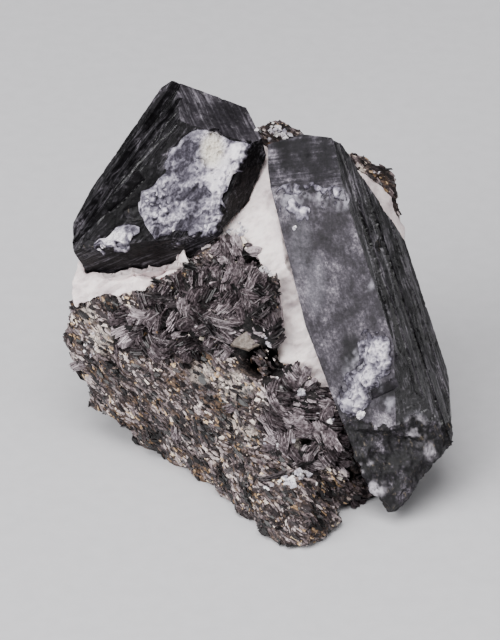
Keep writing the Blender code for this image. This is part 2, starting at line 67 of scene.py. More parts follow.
# The turn and lean of each large crystal face, in degrees, as seen.
RIGHT_FACES = {
    "front": (-28, -12), "brow": (-26.5, 2), "side": (59, 14), "left": (-115.5, -12),
    "shoulder": (100, 38.5), "back": (152, 12), "heel": (28.5, -10), "hip": (84.5, 3.5),
    "roof": (-155, 72.5), "roof_right": (133.5, 70.5),
}
LEFT_FACES = {
    "face": (-8.5, -3), "flank": (-51.5, 27.5), "top": (11.5, 45.5), "cheek": (45, -20.5),
    "sill": (0, -56), "back": (171.5, 3), "rim": (-101, 34), "rim_top": (111.5, 66),
    "rim_right": (96, -20), "rim_bottom": (111, -74), "rim_corner": (-96, -12),
}
# Where the rough broken foot of the right crystal begins, up the view, and how ragged.
FOOT_TOP = 21.8
FOOT_RAGGED = 3.0

# Growth ledges on each crystal face, in families: the way a family runs as seen, its
# width and depth in mm, how much it sways, and how brightly its edges catch the light.
RIGHT_LEDGES = {
    "side": [((7.3, -22.0), 1.9, 0.12, 0.9, 0.3), ((7.3, -22.0), 0.8, 0.10, 1.3, 0.3)],
    "hip": [((1.0, -22.0), 1.7, 0.24, 0.9, 0.4)],
    "front": [((7.3, -22.0), 6.0, 0.08, 1.2, 0.0)],
    "brow": [((20.0, 2.0), 2.6, 0.08, 1.0, 0.1)],
    "heel": [((9.0, 3.0), 2.0, 0.25, 1.6, 0.3)],
    "left": [((7.3, -22.0), 2.4, 0.20, 0.8, 0.4)],
    "back": [((7.3, -22.0), 2.8, 0.34, 1.0, 0.4), ((5.0, -22.0), 1.1, 0.12, 0.9, 0.2)],
    "shoulder": [((10.0, -18.0), 1.8, 0.20, 0.8, 0.4)],
}
LEFT_LEDGES = {
    "flank": [((-15.5, -19.0), 2.6, 0.30, 1.7, 0.5), ((-9.0, -20.0), 3.9, 0.24, 2.0, 0.5)],
    "face": [((-15.5, -18.0), 2.2, 0.22, 1.4, 0.4)],
    "top": [((5.5, -12.0), 2.8, 0.06, 0.4, 0.15)],
    "cheek": [((-7.0, -16.0), 2.2, 0.18, 0.8, 0.3)],
    "sill": [((12.0, 4.6), 1.9, 0.30, 0.7, 0.4), ((12.0, 6.0), 3.3, 0.35, 0.9, 0.3)],
    "back": [((-15.5, -20.0), 2.6, 0.34, 1.2, 0.4), ((-12.0, -20.0), 1.1, 0.12, 1.0, 0.2)],
    "rim": [((-8.0, -20.0), 1.8, 0.22, 1.2, 0.4)],
    "rim_right": [((-4.0, -16.0), 1.8, 0.22, 1.2, 0.3)],
}
# How well a point's normal has to fit a face to be cut by its ledges.
FACE_FIT = 0.93
# How far the painted highlight on a ledge's edge reaches, in mm.
LEDGE_LINE = 0.14
# The long ledges that curve down the right crystal's side, across and up, and their depths.
LONG_LEDGES = [
    ([(14.4, 64.0), (15.6, 58.0), (18.1, 48.3), (21.0, 36.3), (25.2, 29.9)], 0.35),
    ([(16.8, 63.4), (17.2, 58.5), (21.0, 47.0), (24.6, 37.5), (28.1, 28.5)], 0.35),
    ([(19.3, 55.0), (19.8, 51.0), (22.5, 43.0), (26.5, 33.0)], 0.30),
]

# The tones of sapphirine from its darkest to its lightest, by how each face was grown.
FROSTED = [(0.0, "#131114"), (0.35, "#29262b"), (0.6, "#413d44"), (0.8, "#68636a"),
           (1.0, "#9d98a0")]
CLEAN = [(0.0, "#0f0e11"), (0.4, "#1f1d21"), (0.65, "#37343a"), (0.85, "#5f5a62"),
         (1.0, "#8f8992")]
BLACK = [(0.0, "#060506"), (0.5, "#0d0c0e"), (0.75, "#1d1b1e"), (0.9, "#3f3b41"),
         (1.0, "#67626a")]
VIOLET = [(0.0, "#151316"), (0.5, "#252227"), (0.8, "#3c383e"), (1.0, "#67616a")]
# Each look: the way of its lines as seen, its tones, how much its hairs and its lines show,
# its roughness where glossy and where dull, the height of a ledge, its shine and its wander.
SAPPHIRINE_LOOKS = {
    "frosted": ((7.3, -22.0, 0.0), FROSTED, 0.15, 0.15, 0.5, 0.65, 0.02, 0.12, 2.6),
    "brow": ((20, 2, -9.9), CLEAN, 0.4, 0.3, 0.42, 0.6, 0.03, 0.05, 0.8),
    "striated": ((7.3, -22.0, 0.0), BLACK, 0.5, 0.6, 0.22, 0.45, 0.12, 0.35, 1.5),
    "flank": ((-15.5, -20, 0), BLACK, 0.5, 0.45, 0.22, 0.45, 0.14, 0.2, 2.6),
    "face": ((-15.5, -20, 0), BLACK, 0.5, 0.3, 0.3, 0.5, 0.06, 0.04, 2.6),
    "top": ((15, -32, -30.2), VIOLET, 0.9, 0.5, 0.34, 0.45, 0.03, 0.25, 0.3),
    "sill": ((12, 4.6, -6.8), BLACK, 0.5, 0.4, 0.28, 0.5, 0.10, 0.06, 1.0),
}
RIGHT_LOOKS = {
    "front": "frosted", "brow": "brow", "roof": "brow", "roof_right": "brow",
    "side": "striated", "shoulder": "striated", "hip": "striated", "left": "striated",
    "back": "striated", "heel": "striated",
}
LEFT_LOOKS = {
    "face": "face", "flank": "flank", "top": "top", "cheek": "sill", "sill": "sill",
    "back": "flank", "rim": "flank", "rim_top": "top", "rim_right": "sill",
    "rim_bottom": "sill", "rim_corner": "flank",
}

# Spots as seen: the middle across and up, then how far they reach across and up, in mm.
# A white film lies on the crystals in the first list. The second list is a faint painted sheen,
# where the right crystal's front would reflect the light.
FILM_SPOTS = [
    (5.4, 58.2, 2.8, 3.6), (9.6, 58.6, 2.6, 2.2), (13.0, 58.3, 2.6, 2.4), (17.2, 44.3, 1.8, 1.4),
    (16.8, 29.5, 4.2, 7.0), (21.3, 24.5, 1.8, 1.6), (25.5, 20.4, 2.6, 3.6), (28.2, 16.6, 1.6, 2.2),
    (17.4, 13.6, 1.8, 2.2), (19.2, 10.8, 1.9, 2.4),
]
PAINTED_SHEEN_SPOTS = [(6.4, 51.0, 2.4, 7.5), (8.8, 44.5, 2.4, 6.5)]
# Painted shade: the crystals are painted darker here, most of all below the right crystal's lower
# crust.
PAINTED_SHADE_SPOTS = [(20.3, 26.8, 2.8, 2.2), (14.6, 33.5, 2.2, 4.5), (15.0, 23.5, 4.5, 3.2),
              (3.4, 67.5, 1.8, 5.0), (-17.0, 58.0, 4.0, 9.0), (-1.5, 61.0, 3.5, 6.0)]
# The crystals are broken brown and rough here.
SCAR_SPOTS = [(-21.4, 56.2, 2.2, 1.6), (-29.0, 51.0, 1.6, 1.2), (19.5, 51.0, 0.7, 1.4)]
# The rock is pale here, then tan, and its mica is lighter.
CREAM_SPOTS = [(-27.3, 35.2, 2.6, 3.4), (-29.5, 39.5, 1.8, 2.2), (-10.0, 29.5, 3.0, 2.4),
               (-4.5, 27.5, 4.0, 3.0), (-4.5, 21.0, 2.0, 1.8), (-2.0, 19.5, 1.8, 1.8),
               (4.5, 18.0, 2.4, 2.0)]
OCHRE_SPOTS = [(-9.2, 32.5, 2.0, 2.4), (-14.5, 27.5, 2.0, 2.4), (-7.0, 24.0, 3.0, 2.0),
               (-26.0, 21.0, 5.0, 2.5), (-12.0, 12.0, 6.0, 2.4), (-1.0, 8.0, 2.0, 2.0),
               (9.0, 2.0, 2.0, 3.0), (-28.0, 30.0, 2.0, 3.0)]
LIGHT_SPOTS = [(5.5, 20.0, 8.0, 5.5), (9.5, 11.5, 5.0, 3.0)]
# The rock's toe has fewer pale grains. No mica books stand here, by the pocket and its flake.
TOE_SPOTS = [(9.0, 3.5, 9.0, 7.5)]
BARE_SPOTS = [(0.1, 31.6, 5.6, 4.8), (-1.5, 35.4, 3.6, 2.8)]
# The calcite stands back here, under the left crystal.
UNDERCUT_SPOTS = [(-24.0, 47.2, 4.5, 2.6), (-19.0, 48.0, 4.5, 2.8), (-14.5, 49.2, 4.5, 2.8),
                  (-11.0, 50.0, 3.5, 2.4)]
# The mouths of the rock's hollows, painted near-black as shade. The first is the deep one.
HOLLOWS = [(0.1, 31.6, 4.2, 3.5), (8.4, 21.5, 2.1, 0.9), (7.0, 18.3, 1.7, 0.8),
           (14.6, 12.4, 1.3, 1.5), (-14.5, 36.8, 3.2, 1.1), (-1.5, 48.3, 1.8, 1.0)]
# How far back from the toe the undercut and the hollows reach, and how far up the view
# mica books stand.
UNDERCUT_REACH, HOLLOWS_REACH, BOOKS_TOP = 20.0, 22.0, 62.0
# Where the left crust is thick and white, where it is small balls, and where it is thin.
DENSE_SPOTS = [(-7.4, 66.2, 3.4, 4.4), (-4.2, 66.6, 2.8, 2.2), (-7.6, 61.5, 2.6, 3.0),
               (-4.8, 62.0, 2.0, 3.4)]
BALL_SPOTS = [(-17.3, 57.0, 2.8, 4.2)]
THIN_SPOTS = [(-11.0, 52.5, 6.5, 3.8), (-16.5, 51.5, 3.0, 2.0), (-12.6, 67.0, 2.6, 4.0),
              (-10.5, 59.0, 3.4, 2.6), (-12.6, 62.6, 2.6, 1.4)]
# It has a cream cast here.
CREAM_CAST = [(-8.3, 66.8, 2.6, 3.8)]
# Where the other crusts are thick and white.
PATCH_DENSE_SPOTS = [(-24.2, 51.8, 4.0, 2.4)]
UPPER_DENSE_SPOTS = [(5.2, 58.2, 2.2, 3.0), (12.0, 58.6, 1.7, 1.4), (7.6, 56.6, 1.0, 1.0)]
LOWER_DENSE_SPOTS = [(18.8, 32.4, 2.8, 4.0), (15.6, 25.6, 2.4, 3.2), (17.2, 29.0, 2.0, 2.6)]

# Below this much, a crust leaves its crystal bare.
BARE = 0.14

# White grains in clusters: the middle as seen, how far they spread across and up, the
# size of a grain in mm, and how many there are.
WHITE_CLUSTERS = [
    (0.5, 46.5, 0.8, 1.2, 1.6, 9), (-3.5, 45.2, 0.3, 0.2, 1.1, 2),
    (-4.8, 46.7, 0.9, 0.6, 0.7, 5), (-6.2, 45.4, 0.6, 0.5, 1.0, 3),
    (-10.8, 37.2, 0.7, 0.4, 0.8, 4), (1.1, 34.4, 0.3, 0.4, 1.1, 2),
    (6.7, 26.6, 0.8, 0.9, 1.6, 4), (6.4, 28.7, 0.3, 0.3, 0.9, 2),
    (3.1, 27.3, 0.4, 0.5, 0.9, 3), (2.2, 28.5, 0.3, 0.3, 0.8, 2),
    (11.3, 21.4, 0.6, 0.8, 1.2, 4), (9.4, 22.8, 0.3, 0.2, 1.0, 2),
    (3.6, 18.1, 1.3, 1.4, 1.1, 16), (1.2, 18.6, 0.8, 0.8, 0.7, 6),
    (4.4, 11.9, 1.4, 0.9, 1.2, 16), (7.3, 13.0, 1.6, 0.7, 1.2, 14),
    (10.4, 14.4, 1.6, 0.4, 0.9, 9), (13.2, 15.3, 1.2, 0.4, 0.7, 6),
    (0.8, 10.6, 1.3, 0.6, 0.7, 6), (-4.0, 53.4, 1.5, 0.9, 0.8, 26),
    (16.5, 22.9, 0.4, 0.4, 1.3, 9), (5.4, 54.0, 0.2, 0.3, 0.8, 3),
    (-14.9, 53.8, 0.3, 0.3, 0.8, 3), (-27.0, 50.6, 0.6, 0.6, 0.7, 4),
    (2.5, 70.2, 2.6, 1.2, 1.1, 22), (19.4, 63.8, 0.4, 0.3, 0.7, 2),
    (-29.0, 34.5, 1.2, 2.0, 0.7, 12), (0.3, 35.8, 0.4, 0.3, 0.6, 3),
]

# Large mica books: the middle as seen, the slope in degrees of their edges,
# their length and the height of their stack in mm, and how pale they are.
LARGE_BOOKS = [
    (-8.2, 47.8, 47, 9.0, 0.9, 0.5), (-7.4, 46.6, 50, 5.5, 0.7, 0.2),
    (-0.8, 44.7, -35, 5.4, 0.8, 0.1), (-0.7, 43.4, -33, 4.8, 0.7, 0.2),
    (-1.9, 45.8, -36, 4.4, 0.6, 0.05), (-1.4, 41.2, 42, 3.4, 0.8, 0.5),
    (-0.7, 40.2, 40, 3.4, 0.8, 0.3), (0.3, 39.6, 38, 2.8, 0.7, 0.6),
    (2.3, 36.3, 36, 3.2, 0.9, 0.3), (2.6, 35.0, 33, 3.2, 0.9, 0.5),
    (2.2, 37.6, 38, 3.0, 0.8, 0.2), (-6.9, 38.0, -14, 6.4, 1.3, 0.8),
    (-6.6, 36.8, -17, 6.4, 1.3, 0.9), (-6.2, 35.6, -20, 5.6, 1.2, 0.7),
    (-15.0, 42.0, -7, 9.0, 1.0, 0.4), (-16.0, 43.1, 9, 6.5, 0.9, 0.3),
    (-13.0, 41.0, -3, 7.0, 0.8, 0.5), (-11.2, 40.2, -58, 3.0, 1.6, 0.6),
    (-4.6, 41.6, 46, 4.4, 1.4, 0.6), (-15.6, 34.8, -15, 5.6, 0.8, 0.8),
    (-15.0, 38.4, -10, 4.0, 0.7, 0.3), (-19.5, 38.0, -62, 4.4, 1.3, 0.3),
    (-9.6, 34.0, -25, 5.0, 1.0, 0.4), (-17.0, 45.0, -15, 4.0, 0.7, 0.1),
    (5.9, 14.0, 21, 6.6, 0.7, 0.3), (3.2, 25.0, -38, 5.0, 1.0, 0.4),
    (1.8, 22.8, -30, 4.6, 1.0, 0.5), (4.5, 22.0, -22, 4.0, 1.2, 0.7),
    (7.2, 20.0, -28, 4.6, 1.3, 0.8), (10.0, 24.4, -52, 4.4, 1.0, 0.4),
    (11.2, 17.8, -66, 4.0, 1.2, 0.6), (8.2, 16.2, -6, 4.4, 1.0, 0.7),
    (-11.5, 47.4, -10, 3.6, 0.9, 0.1), (-2.8, 49.6, 15, 3.6, 1.0, 0.2),
    (1.8, 12.6, 12, 4.8, 0.8, 0.5), (6.2, 29.6, -50, 3.2, 0.9, 0.3),
]

# The coarse mica beside the calcite, as an outline as seen.
MICA_AREA = [
    (-26, 38), (-20, 42.5), (-13, 46), (-8, 48.5), (-8, 52.5), (-2, 52), (1.5, 46),
    (3.5, 38), (4.5, 32.5), (10, 29), (14.5, 20), (15, 11), (11, 14), (2, 15), (0, 21),
    (0.5, 27), (-3, 31.5), (-9, 33), (-16, 32), (-24, 34),
]
# The way the rock's grain runs, as seen, and how far it slopes where the mica is coarse:
# below the first height up the view, and above the second.
GRAIN_WAY = (0.79, -0.61, 0.1)
MICA_SLOPE = math.radians(-25)
MICA_TOP_SLOPE = math.radians(30)
MICA_TURNS = (41.0, 48.0)
# The ways in which the calcite cleaves and the right crystal's foot is broken, as seen.
CLEAVAGE_WAY = (0.85, 0.5, 0.15)
FOOT_GRAIN_WAY = (0.35, -0.9, 0.1)

# How fine each kind of piece is remade, in mm, and how far it is grown before that, so
# that it covers its CAD node.
CALCITE_VOXEL, ROCK_VOXEL, CRUST_VOXEL, FLAKE_VOXEL = 0.34, 0.36, 0.15, 0.16
SKIN_GROWTH, CRUST_GROWTH = 0.2, 0.15
# How much of the remesh box each crystal fills: less gives it fewer faces.
RIGHT_FINENESS, LEFT_FINENESS = 0.9, 0.66

# How many places for grains and flakes are drawn on each lump of rock.
ROCK_GRAINS, BACK_GRAINS = 30000, 3600

# Measured refractive indices of the minerals.
SAPPHIRINE_IOR, CALCITE_IOR, MICA_IOR, ROCK_IOR = 1.71, 1.6, 1.6, 1.58
CRUST_IOR, FELDSPAR_IOR = 1.54, 1.53

# The soft boxes: their place and size in metres, and their power in watts.
SOFT_BOXES = {
    "left_box": ((-0.80, -0.62, 0.52), 0.90, 22.0),
    "top_box": ((-0.12, -0.40, 1.05), 0.80, 16.0),
    "right_fill": ((0.85, -0.55, 0.70), 0.80, 4.0),
}
# They are turned to this place, in metres.
LIGHT_AIM = (0.0, 0.0, 0.03)


def as_metres(places):
    """Places as seen, in mm, turned into metres in the frame's own axes."""
    places = np.atleast_2d(np.asarray(places, float))
    across, up, back = places[:, 0], places[:, 1], places[:, 2]
    sine, cosine = math.sin(VIEW_TILT), math.cos(VIEW_TILT)
    own = np.stack([across, up * sine + back * cosine, up * cosine - back * sine], 1)
    return (own - BASE_MIDDLE) * MM


def as_seen(points):
    """Points in metres, turned into places as seen, in mm."""
    own = np.asarray(points, float) / MM + BASE_MIDDLE
    sine, cosine = math.sin(VIEW_TILT), math.cos(VIEW_TILT)
    return np.stack([
        own[:, 0], own[:, 1] * sine + own[:, 2] * cosine,
        own[:, 1] * cosine - own[:, 2] * sine], 1)


def seen(across, up, back):
    """One place as seen, as a Vector in metres."""
    return Vector(as_metres((across, up, back))[0])


def way(across, up, back=0.0):
    """A direction as seen, as a unit Vector in the frame's own axes."""
    return (seen(across, up, back) - seen(0, 0, 0)).normalized()


def face_normal(turn, lean):
    """The direction in which a crystal face looks, as seen."""
    turn, lean = math.radians(turn), math.radians(lean)
    return math.sin(turn) * math.cos(lean), math.sin(lean), -math.cos(turn) * math.cos(lean)


def facing(turn, lean):
    """The same direction as a unit Vector in the frame's own axes."""
    return way(*face_normal(turn, lean))


def towards_eye(normals, least=0.0):
    """Which normals look towards the eye by more than least."""
    return normals @ np.array(way(0, 0, -1)) > least


def pick(*things):
    """Selects only these objects, the first one active."""
    bpy.ops.object.select_all(action="DESELECT")
    for thing in things:
        thing.select_set(True)
    bpy.context.view_layer.objects.active = things[0]


def apply(thing, kind, **settings):
    """Adds a modifier, sets it and applies it."""
    pick(thing)
    modifier = thing.modifiers.new(kind.lower(), kind)
    for name, value in settings.items():
        setattr(modifier, name, value)
    bpy.ops.object.modifier_apply(modifier=modifier.name)


def edit_all(thing, operator, **settings):
    """Runs an edit operator on the whole of a mesh."""
    pick(thing)
    bpy.ops.object.mode_set(mode="EDIT")
    bpy.ops.mesh.select_all(action="SELECT")
    operator(**settings)
    bpy.ops.object.mode_set(mode="OBJECT")


def copy_of(name, node_name):
    """A new piece from a copy of a CAD node, with its corners merged."""
    piece = bpy.data.objects.new(name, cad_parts[node_name].data.copy())
    bpy.context.scene.collection.objects.link(piece)
    edit_all(piece, bpy.ops.mesh.remove_doubles, threshold=0.001 * MM)
    piece.data.materials.clear()
    return piece


def listed(items, name, width=3, kind=float):
    """One value of each of a mesh's points, faces or corners, as an array."""
    values = np.empty(len(items) * width, kind)
    items.foreach_get(name, values)
    return values.reshape(-1, width) if width > 1 else values


def mesh_arrays(piece):
    """The points of a piece in metres, and its normals at them."""
    return listed(piece.data.vertices, "co"), listed(piece.data.vertices, "normal")


def move_points(piece, points):
    """Moves the points of a piece to these places in metres."""
    piece.data.vertices.foreach_set("co", points.ravel())
    piece.data.update()


def carve(piece, rule):
    """Moves each point along its normal by rule(places, normals) mm, never below the floor."""
    points, normals = mesh_arrays(piece)
    points = points + normals * rule(as_seen(points), normals)[:, None] * MM
    points[:, 2] = np.maximum(points[:, 2], 0.0)
    move_points(piece, points)


def joined_tree(pieces):
    """The faces of some pieces together, ready to be met by a line of sight."""
    together = bmesh.new()
    for piece in pieces:
        together.from_mesh(piece.data)
    tree = BVHTree.FromBMesh(together)
    together.free()
    return tree


def ripple(places, size, shift=0.0):
    """Smooth noise from -1 to 1 at each place. size is its grain in mm, one or three."""
    scaled = places / np.asarray(size, float) + shift
    return np.array([noise.noise(Vector(place)) for place in scaled])


def lumps(places, size, shift=0.0):
    """Round-topped cells: 1 in the middle of each lump, falling to 0 between them."""
    scaled = places / size + shift
    near = np.array([noise.voronoi(Vector(place))[0][0] for place in scaled])
    return np.clip(1.0 - near * near * 1.6, 0.0, 1.0)


def stretched(places, along, share):
    """Places squeezed along one way, so that a pattern on them runs that way."""
    along = np.asarray(along, float) / np.linalg.norm(along)
    return places - np.outer(places @ along, along) * share


def inside(places, outline):
    """Which places, across and up, lie inside an outline."""
    across, up = places[:, 0], places[:, 1]
    found = np.zeros(len(places), bool)
    for (x1, y1), (x2, y2) in zip(outline, outline[1:] + outline[:1]):
        crosses = (y1 > up) != (y2 > up)
        edge = x1 + (up - y1) / ((y2 - y1) or 1e-9) * (x2 - x1)
        found ^= crosses & (across < edge)
    return found


def smooth_step(value, low, high):
    """0 below low, 1 above high, and smooth between them."""
    share = np.clip((value - low) / (high - low), 0, 1)
    return share * share * (3 - 2 * share)


def near(places, spots):
    """1 in the middle of any of these spots, and 0 from its rim outwards."""
    found = np.zeros(len(places))
    for across, up, wide, high in spots:
        reach = np.hypot((places[:, 0] - across) / wide, (places[:, 1] - up) / high)
        found = np.maximum(found, 1 - smooth_step(reach, 0.4, 1.0))
    return found


def note(piece, name, values):
    """Keeps one number for each point of a piece, for its material to read."""
    kept = piece.data.attributes.new(name, "FLOAT", "POINT")
    kept.data.foreach_set("value", values)


def smooth(piece, degrees=40):
    """Shades a piece smooth but for its sharp edges."""
    pick(piece)
    bpy.ops.object.shade_smooth_by_angle(angle=math.radians(degrees))


# Crystals

def ledges(places, face, family, seed):
    """One family of growth ledges: how far each point moves, and how bright the painted highlight
    on its edge is.
    """
    run, width, depth, sway, shine = family
    normal = np.array(face_normal(*face))
    along = np.array((run[0], run[1], 0.0))
    along -= normal * (along @ normal)
    along /= np.linalg.norm(along)
    a, c = places @ along, places @ np.cross(normal, along)
    flat = np.stack([a, c, np.full(len(a), seed * 10.0)], 1)
    bend = ripple(flat, (13.0, width * 2.6, 10.0))
    chips = ripple(flat, (2.5, 1.6, 10.0), 5.0)
    phase = c / width + sway * bend + 0.16 * chips
    step = np.floor(phase)
    share = phase - step
    height = (0.5 + 0.5 * np.sin(step * 12.9898 + seed * 4.1)) ** 2
    kept = ripple(np.stack([a / 3.0, step * 5.1, np.full(len(a), seed)], 1), 1.0)
    near_edge = (1 - share) * width / LEDGE_LINE
    bright = shine * height * smooth_step(kept, 0.0, 0.35) * np.exp(-near_edge ** 2)
    return -depth * height * share, bright


def long_ledge(places, line, depth):
    """One long curved ledge: it drops along the line and rises slowly to the right of it."""
    across, up = np.array(line[::-1]).T
    away = places[:, 0] - np.interp(places[:, 1], up, across) + 0.25 * ripple(places, 2.0, 3.0)
    kept = smooth_step(places[:, 1], up[0], up[0] + 5) * (
        1 - smooth_step(places[:, 1], up[-1] - 4, up[-1]))
    sunk = -depth * kept * (away > 0) * (1 - smooth_step(away, 0.0, 2.4))
    shown = smooth_step(ripple(places, 2.4, 8.0), -0.4, 0.1)
    # The second part is a painted highlight along the ledge's edge.
    return sunk, 0.9 * kept * shown * np.exp(-(away / LEDGE_LINE) ** 2)


def foot_share(places, foot):
    """1 below the ragged top of the broken foot, 0 above it."""
    ragged = ripple(places, 3.4, 7.0) + 0.5 * ripple(places, 1.1, 9.0)
    return smooth_step(foot + FOOT_RAGGED * ragged - places[:, 1], 0, 1.0)


def nearest_face(normals, faces):
    """For each normal, the number of the crystal face that it fits best, and how well."""
    looks = np.array([facing(*face) for face in faces.values()])
    fit = normals @ looks.T
    return fit.argmax(1), fit.max(1)


def face_numbers(piece, faces):
    """The number of the crystal face that each polygon belongs to, and its middle as seen."""
    polygons = piece.data.polygons
    number, _ = nearest_face(listed(polygons, "normal"), faces)
    return number, as_seen(listed(polygons, "center"))


def note_spots(piece):
    """Notes where a crystal's surface has a white film, where it has a painted sheen and where it
    has painted shade.
    """
    points, normals = mesh_arrays(piece)
    places = as_seen(points)
    film_and_sheen = near(places, FILM_SPOTS) * smooth_step(
        ripple(places, 2.2, 17.0) + 0.7 * ripple(places, 0.8, 27.0), -0.3, 0.6)
    # Painted sheen: these spots lighten the front of the right crystal as its reflection of the
    # light would.
    film_and_sheen = np.maximum(film_and_sheen, 0.2 * near(places, PAINTED_SHEEN_SPOTS))
    seen_side = towards_eye(normals)
    note(piece, "film_and_sheen", film_and_sheen * seen_side)
    # Painted shade: the dark attribute darkens the crystals in the shade spots.
    note(piece, "dark", near(places, PAINTED_SHADE_SPOTS) * seen_side)


def finish_crystal(piece, faces, families, seed, looks, broken, foot=None, long_ones=()):
    """Cuts growth ledges and a broken foot into a crystal, and gives each face its look.

    looks is a material for each face, broken the one of the scars and of the foot, foot how
    far up the view the foot reaches, and long_ones the long ledges of its side.
    """
    polygon_face, middles = face_numbers(piece, faces)
    points, normals = mesh_arrays(piece)
    places = as_seen(points)
    number, fit = nearest_face(normals, faces)
    moved, edge = np.zeros(len(points)), np.zeros(len(points))

    def cut(here, sunk, bright):
        moved[here] += sunk
        edge[here] = np.maximum(edge[here], bright)

    for index, (name, face) in enumerate(faces.items()):
        here = (number == index) & (fit > FACE_FIT)
        if here.any():
            for order, family in enumerate(families.get(name, ())):
                cut(here, *ledges(places[here], face, family, seed + index * 3.7 + order))
    for line, depth in long_ones:
        here = number == list(faces).index("side")
        cut(here, *long_ledge(places[here], line, depth))
    moved += 0.05 * ripple(places, 1.3, seed) + 0.04 * ripple(places, 0.6, seed)
    moved -= 0.12 * smooth_step(ripple(places, 0.8, seed + 31), 0.35, 0.7)
    moved -= 0.5 * near(places, SCAR_SPOTS) * (0.5 + ripple(places, 1.1, 3.0))
    if foot is not None:
        rough = foot_share(places, foot)
        grained = stretched(places, FOOT_GRAIN_WAY, 0.5)
        broken_skin = (0.6 * ripple(places, 2.4, 3.0) + 0.4 * ripple(grained, 1.0, 9.0)
                       + 0.2 * ripple(places, 0.55, 9.0))
        moved = moved * (1 - rough) + (broken_skin - 0.2) * rough
        edge *= 1 - rough
    carve(piece, lambda *_: moved)
    # Painted highlight: the edge attribute lightens the ledge edges where they catch the light.
    note(piece, "edge", edge)
    note_spots(piece)
    materials = list(dict.fromkeys([*looks.values(), broken]))
    for material in materials:
        piece.data.materials.append(material)
    slots = np.array([
        materials.index(looks.get(name, broken)) for name in faces])[polygon_face]
    last = len(materials) - 1
    if foot is not None:
        slots[foot_share(middles, foot) > 0.3] = last
    slots[near(middles, SCAR_SPOTS) > 0.35 + 0.4 * ripple(middles, 1.2, 5.0)] = last
    piece.data.polygons.foreach_set("material_index", slots.astype(np.int32))
    smooth(piece)


def tint(text):
    """An sRGB hex colour as linear red, green, blue and alpha."""
    values = [int(text[place:place + 2], 16) / 255 for place in (1, 3, 5)]
    return tuple(
        value / 12.92 if value <= 0.04045 else ((value + 0.055) / 1.055) ** 2.4
        for value in values) + (1.0,)


def join(tree, socket, value):
    """Links an output to a socket, or sets the socket to a number or a hex colour."""
    if isinstance(value, bpy.types.NodeSocket):
        tree.links.new(value, socket)
    else:
        socket.default_value = tint(value) if isinstance(value, str) else value


def node(tree, kind, *values, give=0, stops=None, **named):
    """Adds a node, sets and joins its inputs, and returns one of its outputs.

    values are its first inputs in order, and named its own settings or, by name with _ for
    a space, further inputs. A hex colour is turned to linear. stops are a ramp's colours.
    """
    made = tree.nodes.new("ShaderNode" + kind)
    chosen = list(zip(made.inputs, values))
    for name, value in named.items():
        socket = made.inputs.get(name.replace("_", " "))
        if socket is None:
            setattr(made, name, value)
        else:
            chosen.append((socket, value))
    for socket, value in chosen:
        join(tree, socket, value)
    if stops:
        ramp = made.color_ramp
        while len(ramp.elements) < len(stops):
            ramp.elements.new(1.0)
        for element, (place, colour) in zip(ramp.elements, stops):
            element.position = place
            element.color = tint(colour)
    return made.outputs[give]


def new_material(name):
    """An empty material, with its tree and the object's own coordinates."""
    made = bpy.data.materials.new(name)
    made.use_nodes = True
    return made, made.node_tree, node(made.node_tree, "TexCoord", give="Object")


def finished(made, **inputs):
    """The material, with its shader's own sockets set or linked, _ standing for a space."""
    sockets = made.node_tree.nodes["Principled BSDF"].inputs
    for name, value in inputs.items():
        join(made.node_tree, sockets[name.replace("_", " ")], value)
    return made


def per_mm(size):
    """The scale that gives a pattern this size in mm, on coordinates in metres."""
    return 1.0 / (size * MM)


def along_grain(tree, place, direction, share):
    """Coordinates squeezed along one way as seen, so that patterns on them run that way."""
    direction = tuple(way(*direction))
    length = node(tree, "VectorMath", place, direction, operation="DOT_PRODUCT", give="Value")
    part = node(tree, "VectorMath", tuple(share * value for value in direction),
                operation="SCALE", Scale=length)
    return node(tree, "VectorMath", place, part, operation="SUBTRACT")


def shaken(tree, place, size, reach):
    """Coordinates moved about by a slow noise, so that straight patterns on them wander."""
    wave = node(tree, "TexNoise", place, Scale=per_mm(size), Detail=2.0, give="Color")
    centred = node(tree, "VectorMath", wave, (0.5, 0.5, 0.5), operation="SUBTRACT")
    moved = node(tree, "VectorMath", centred, operation="SCALE", Scale=reach * MM)
    return node(tree, "VectorMath", place, moved, operation="ADD")


def added(tree, *parts):
    """Several numbers, each times its own share, added together."""
    total = 0.0
    for value, share in parts:
        total = node(tree, "Math", value, share, total, operation="MULTIPLY_ADD")
    return total


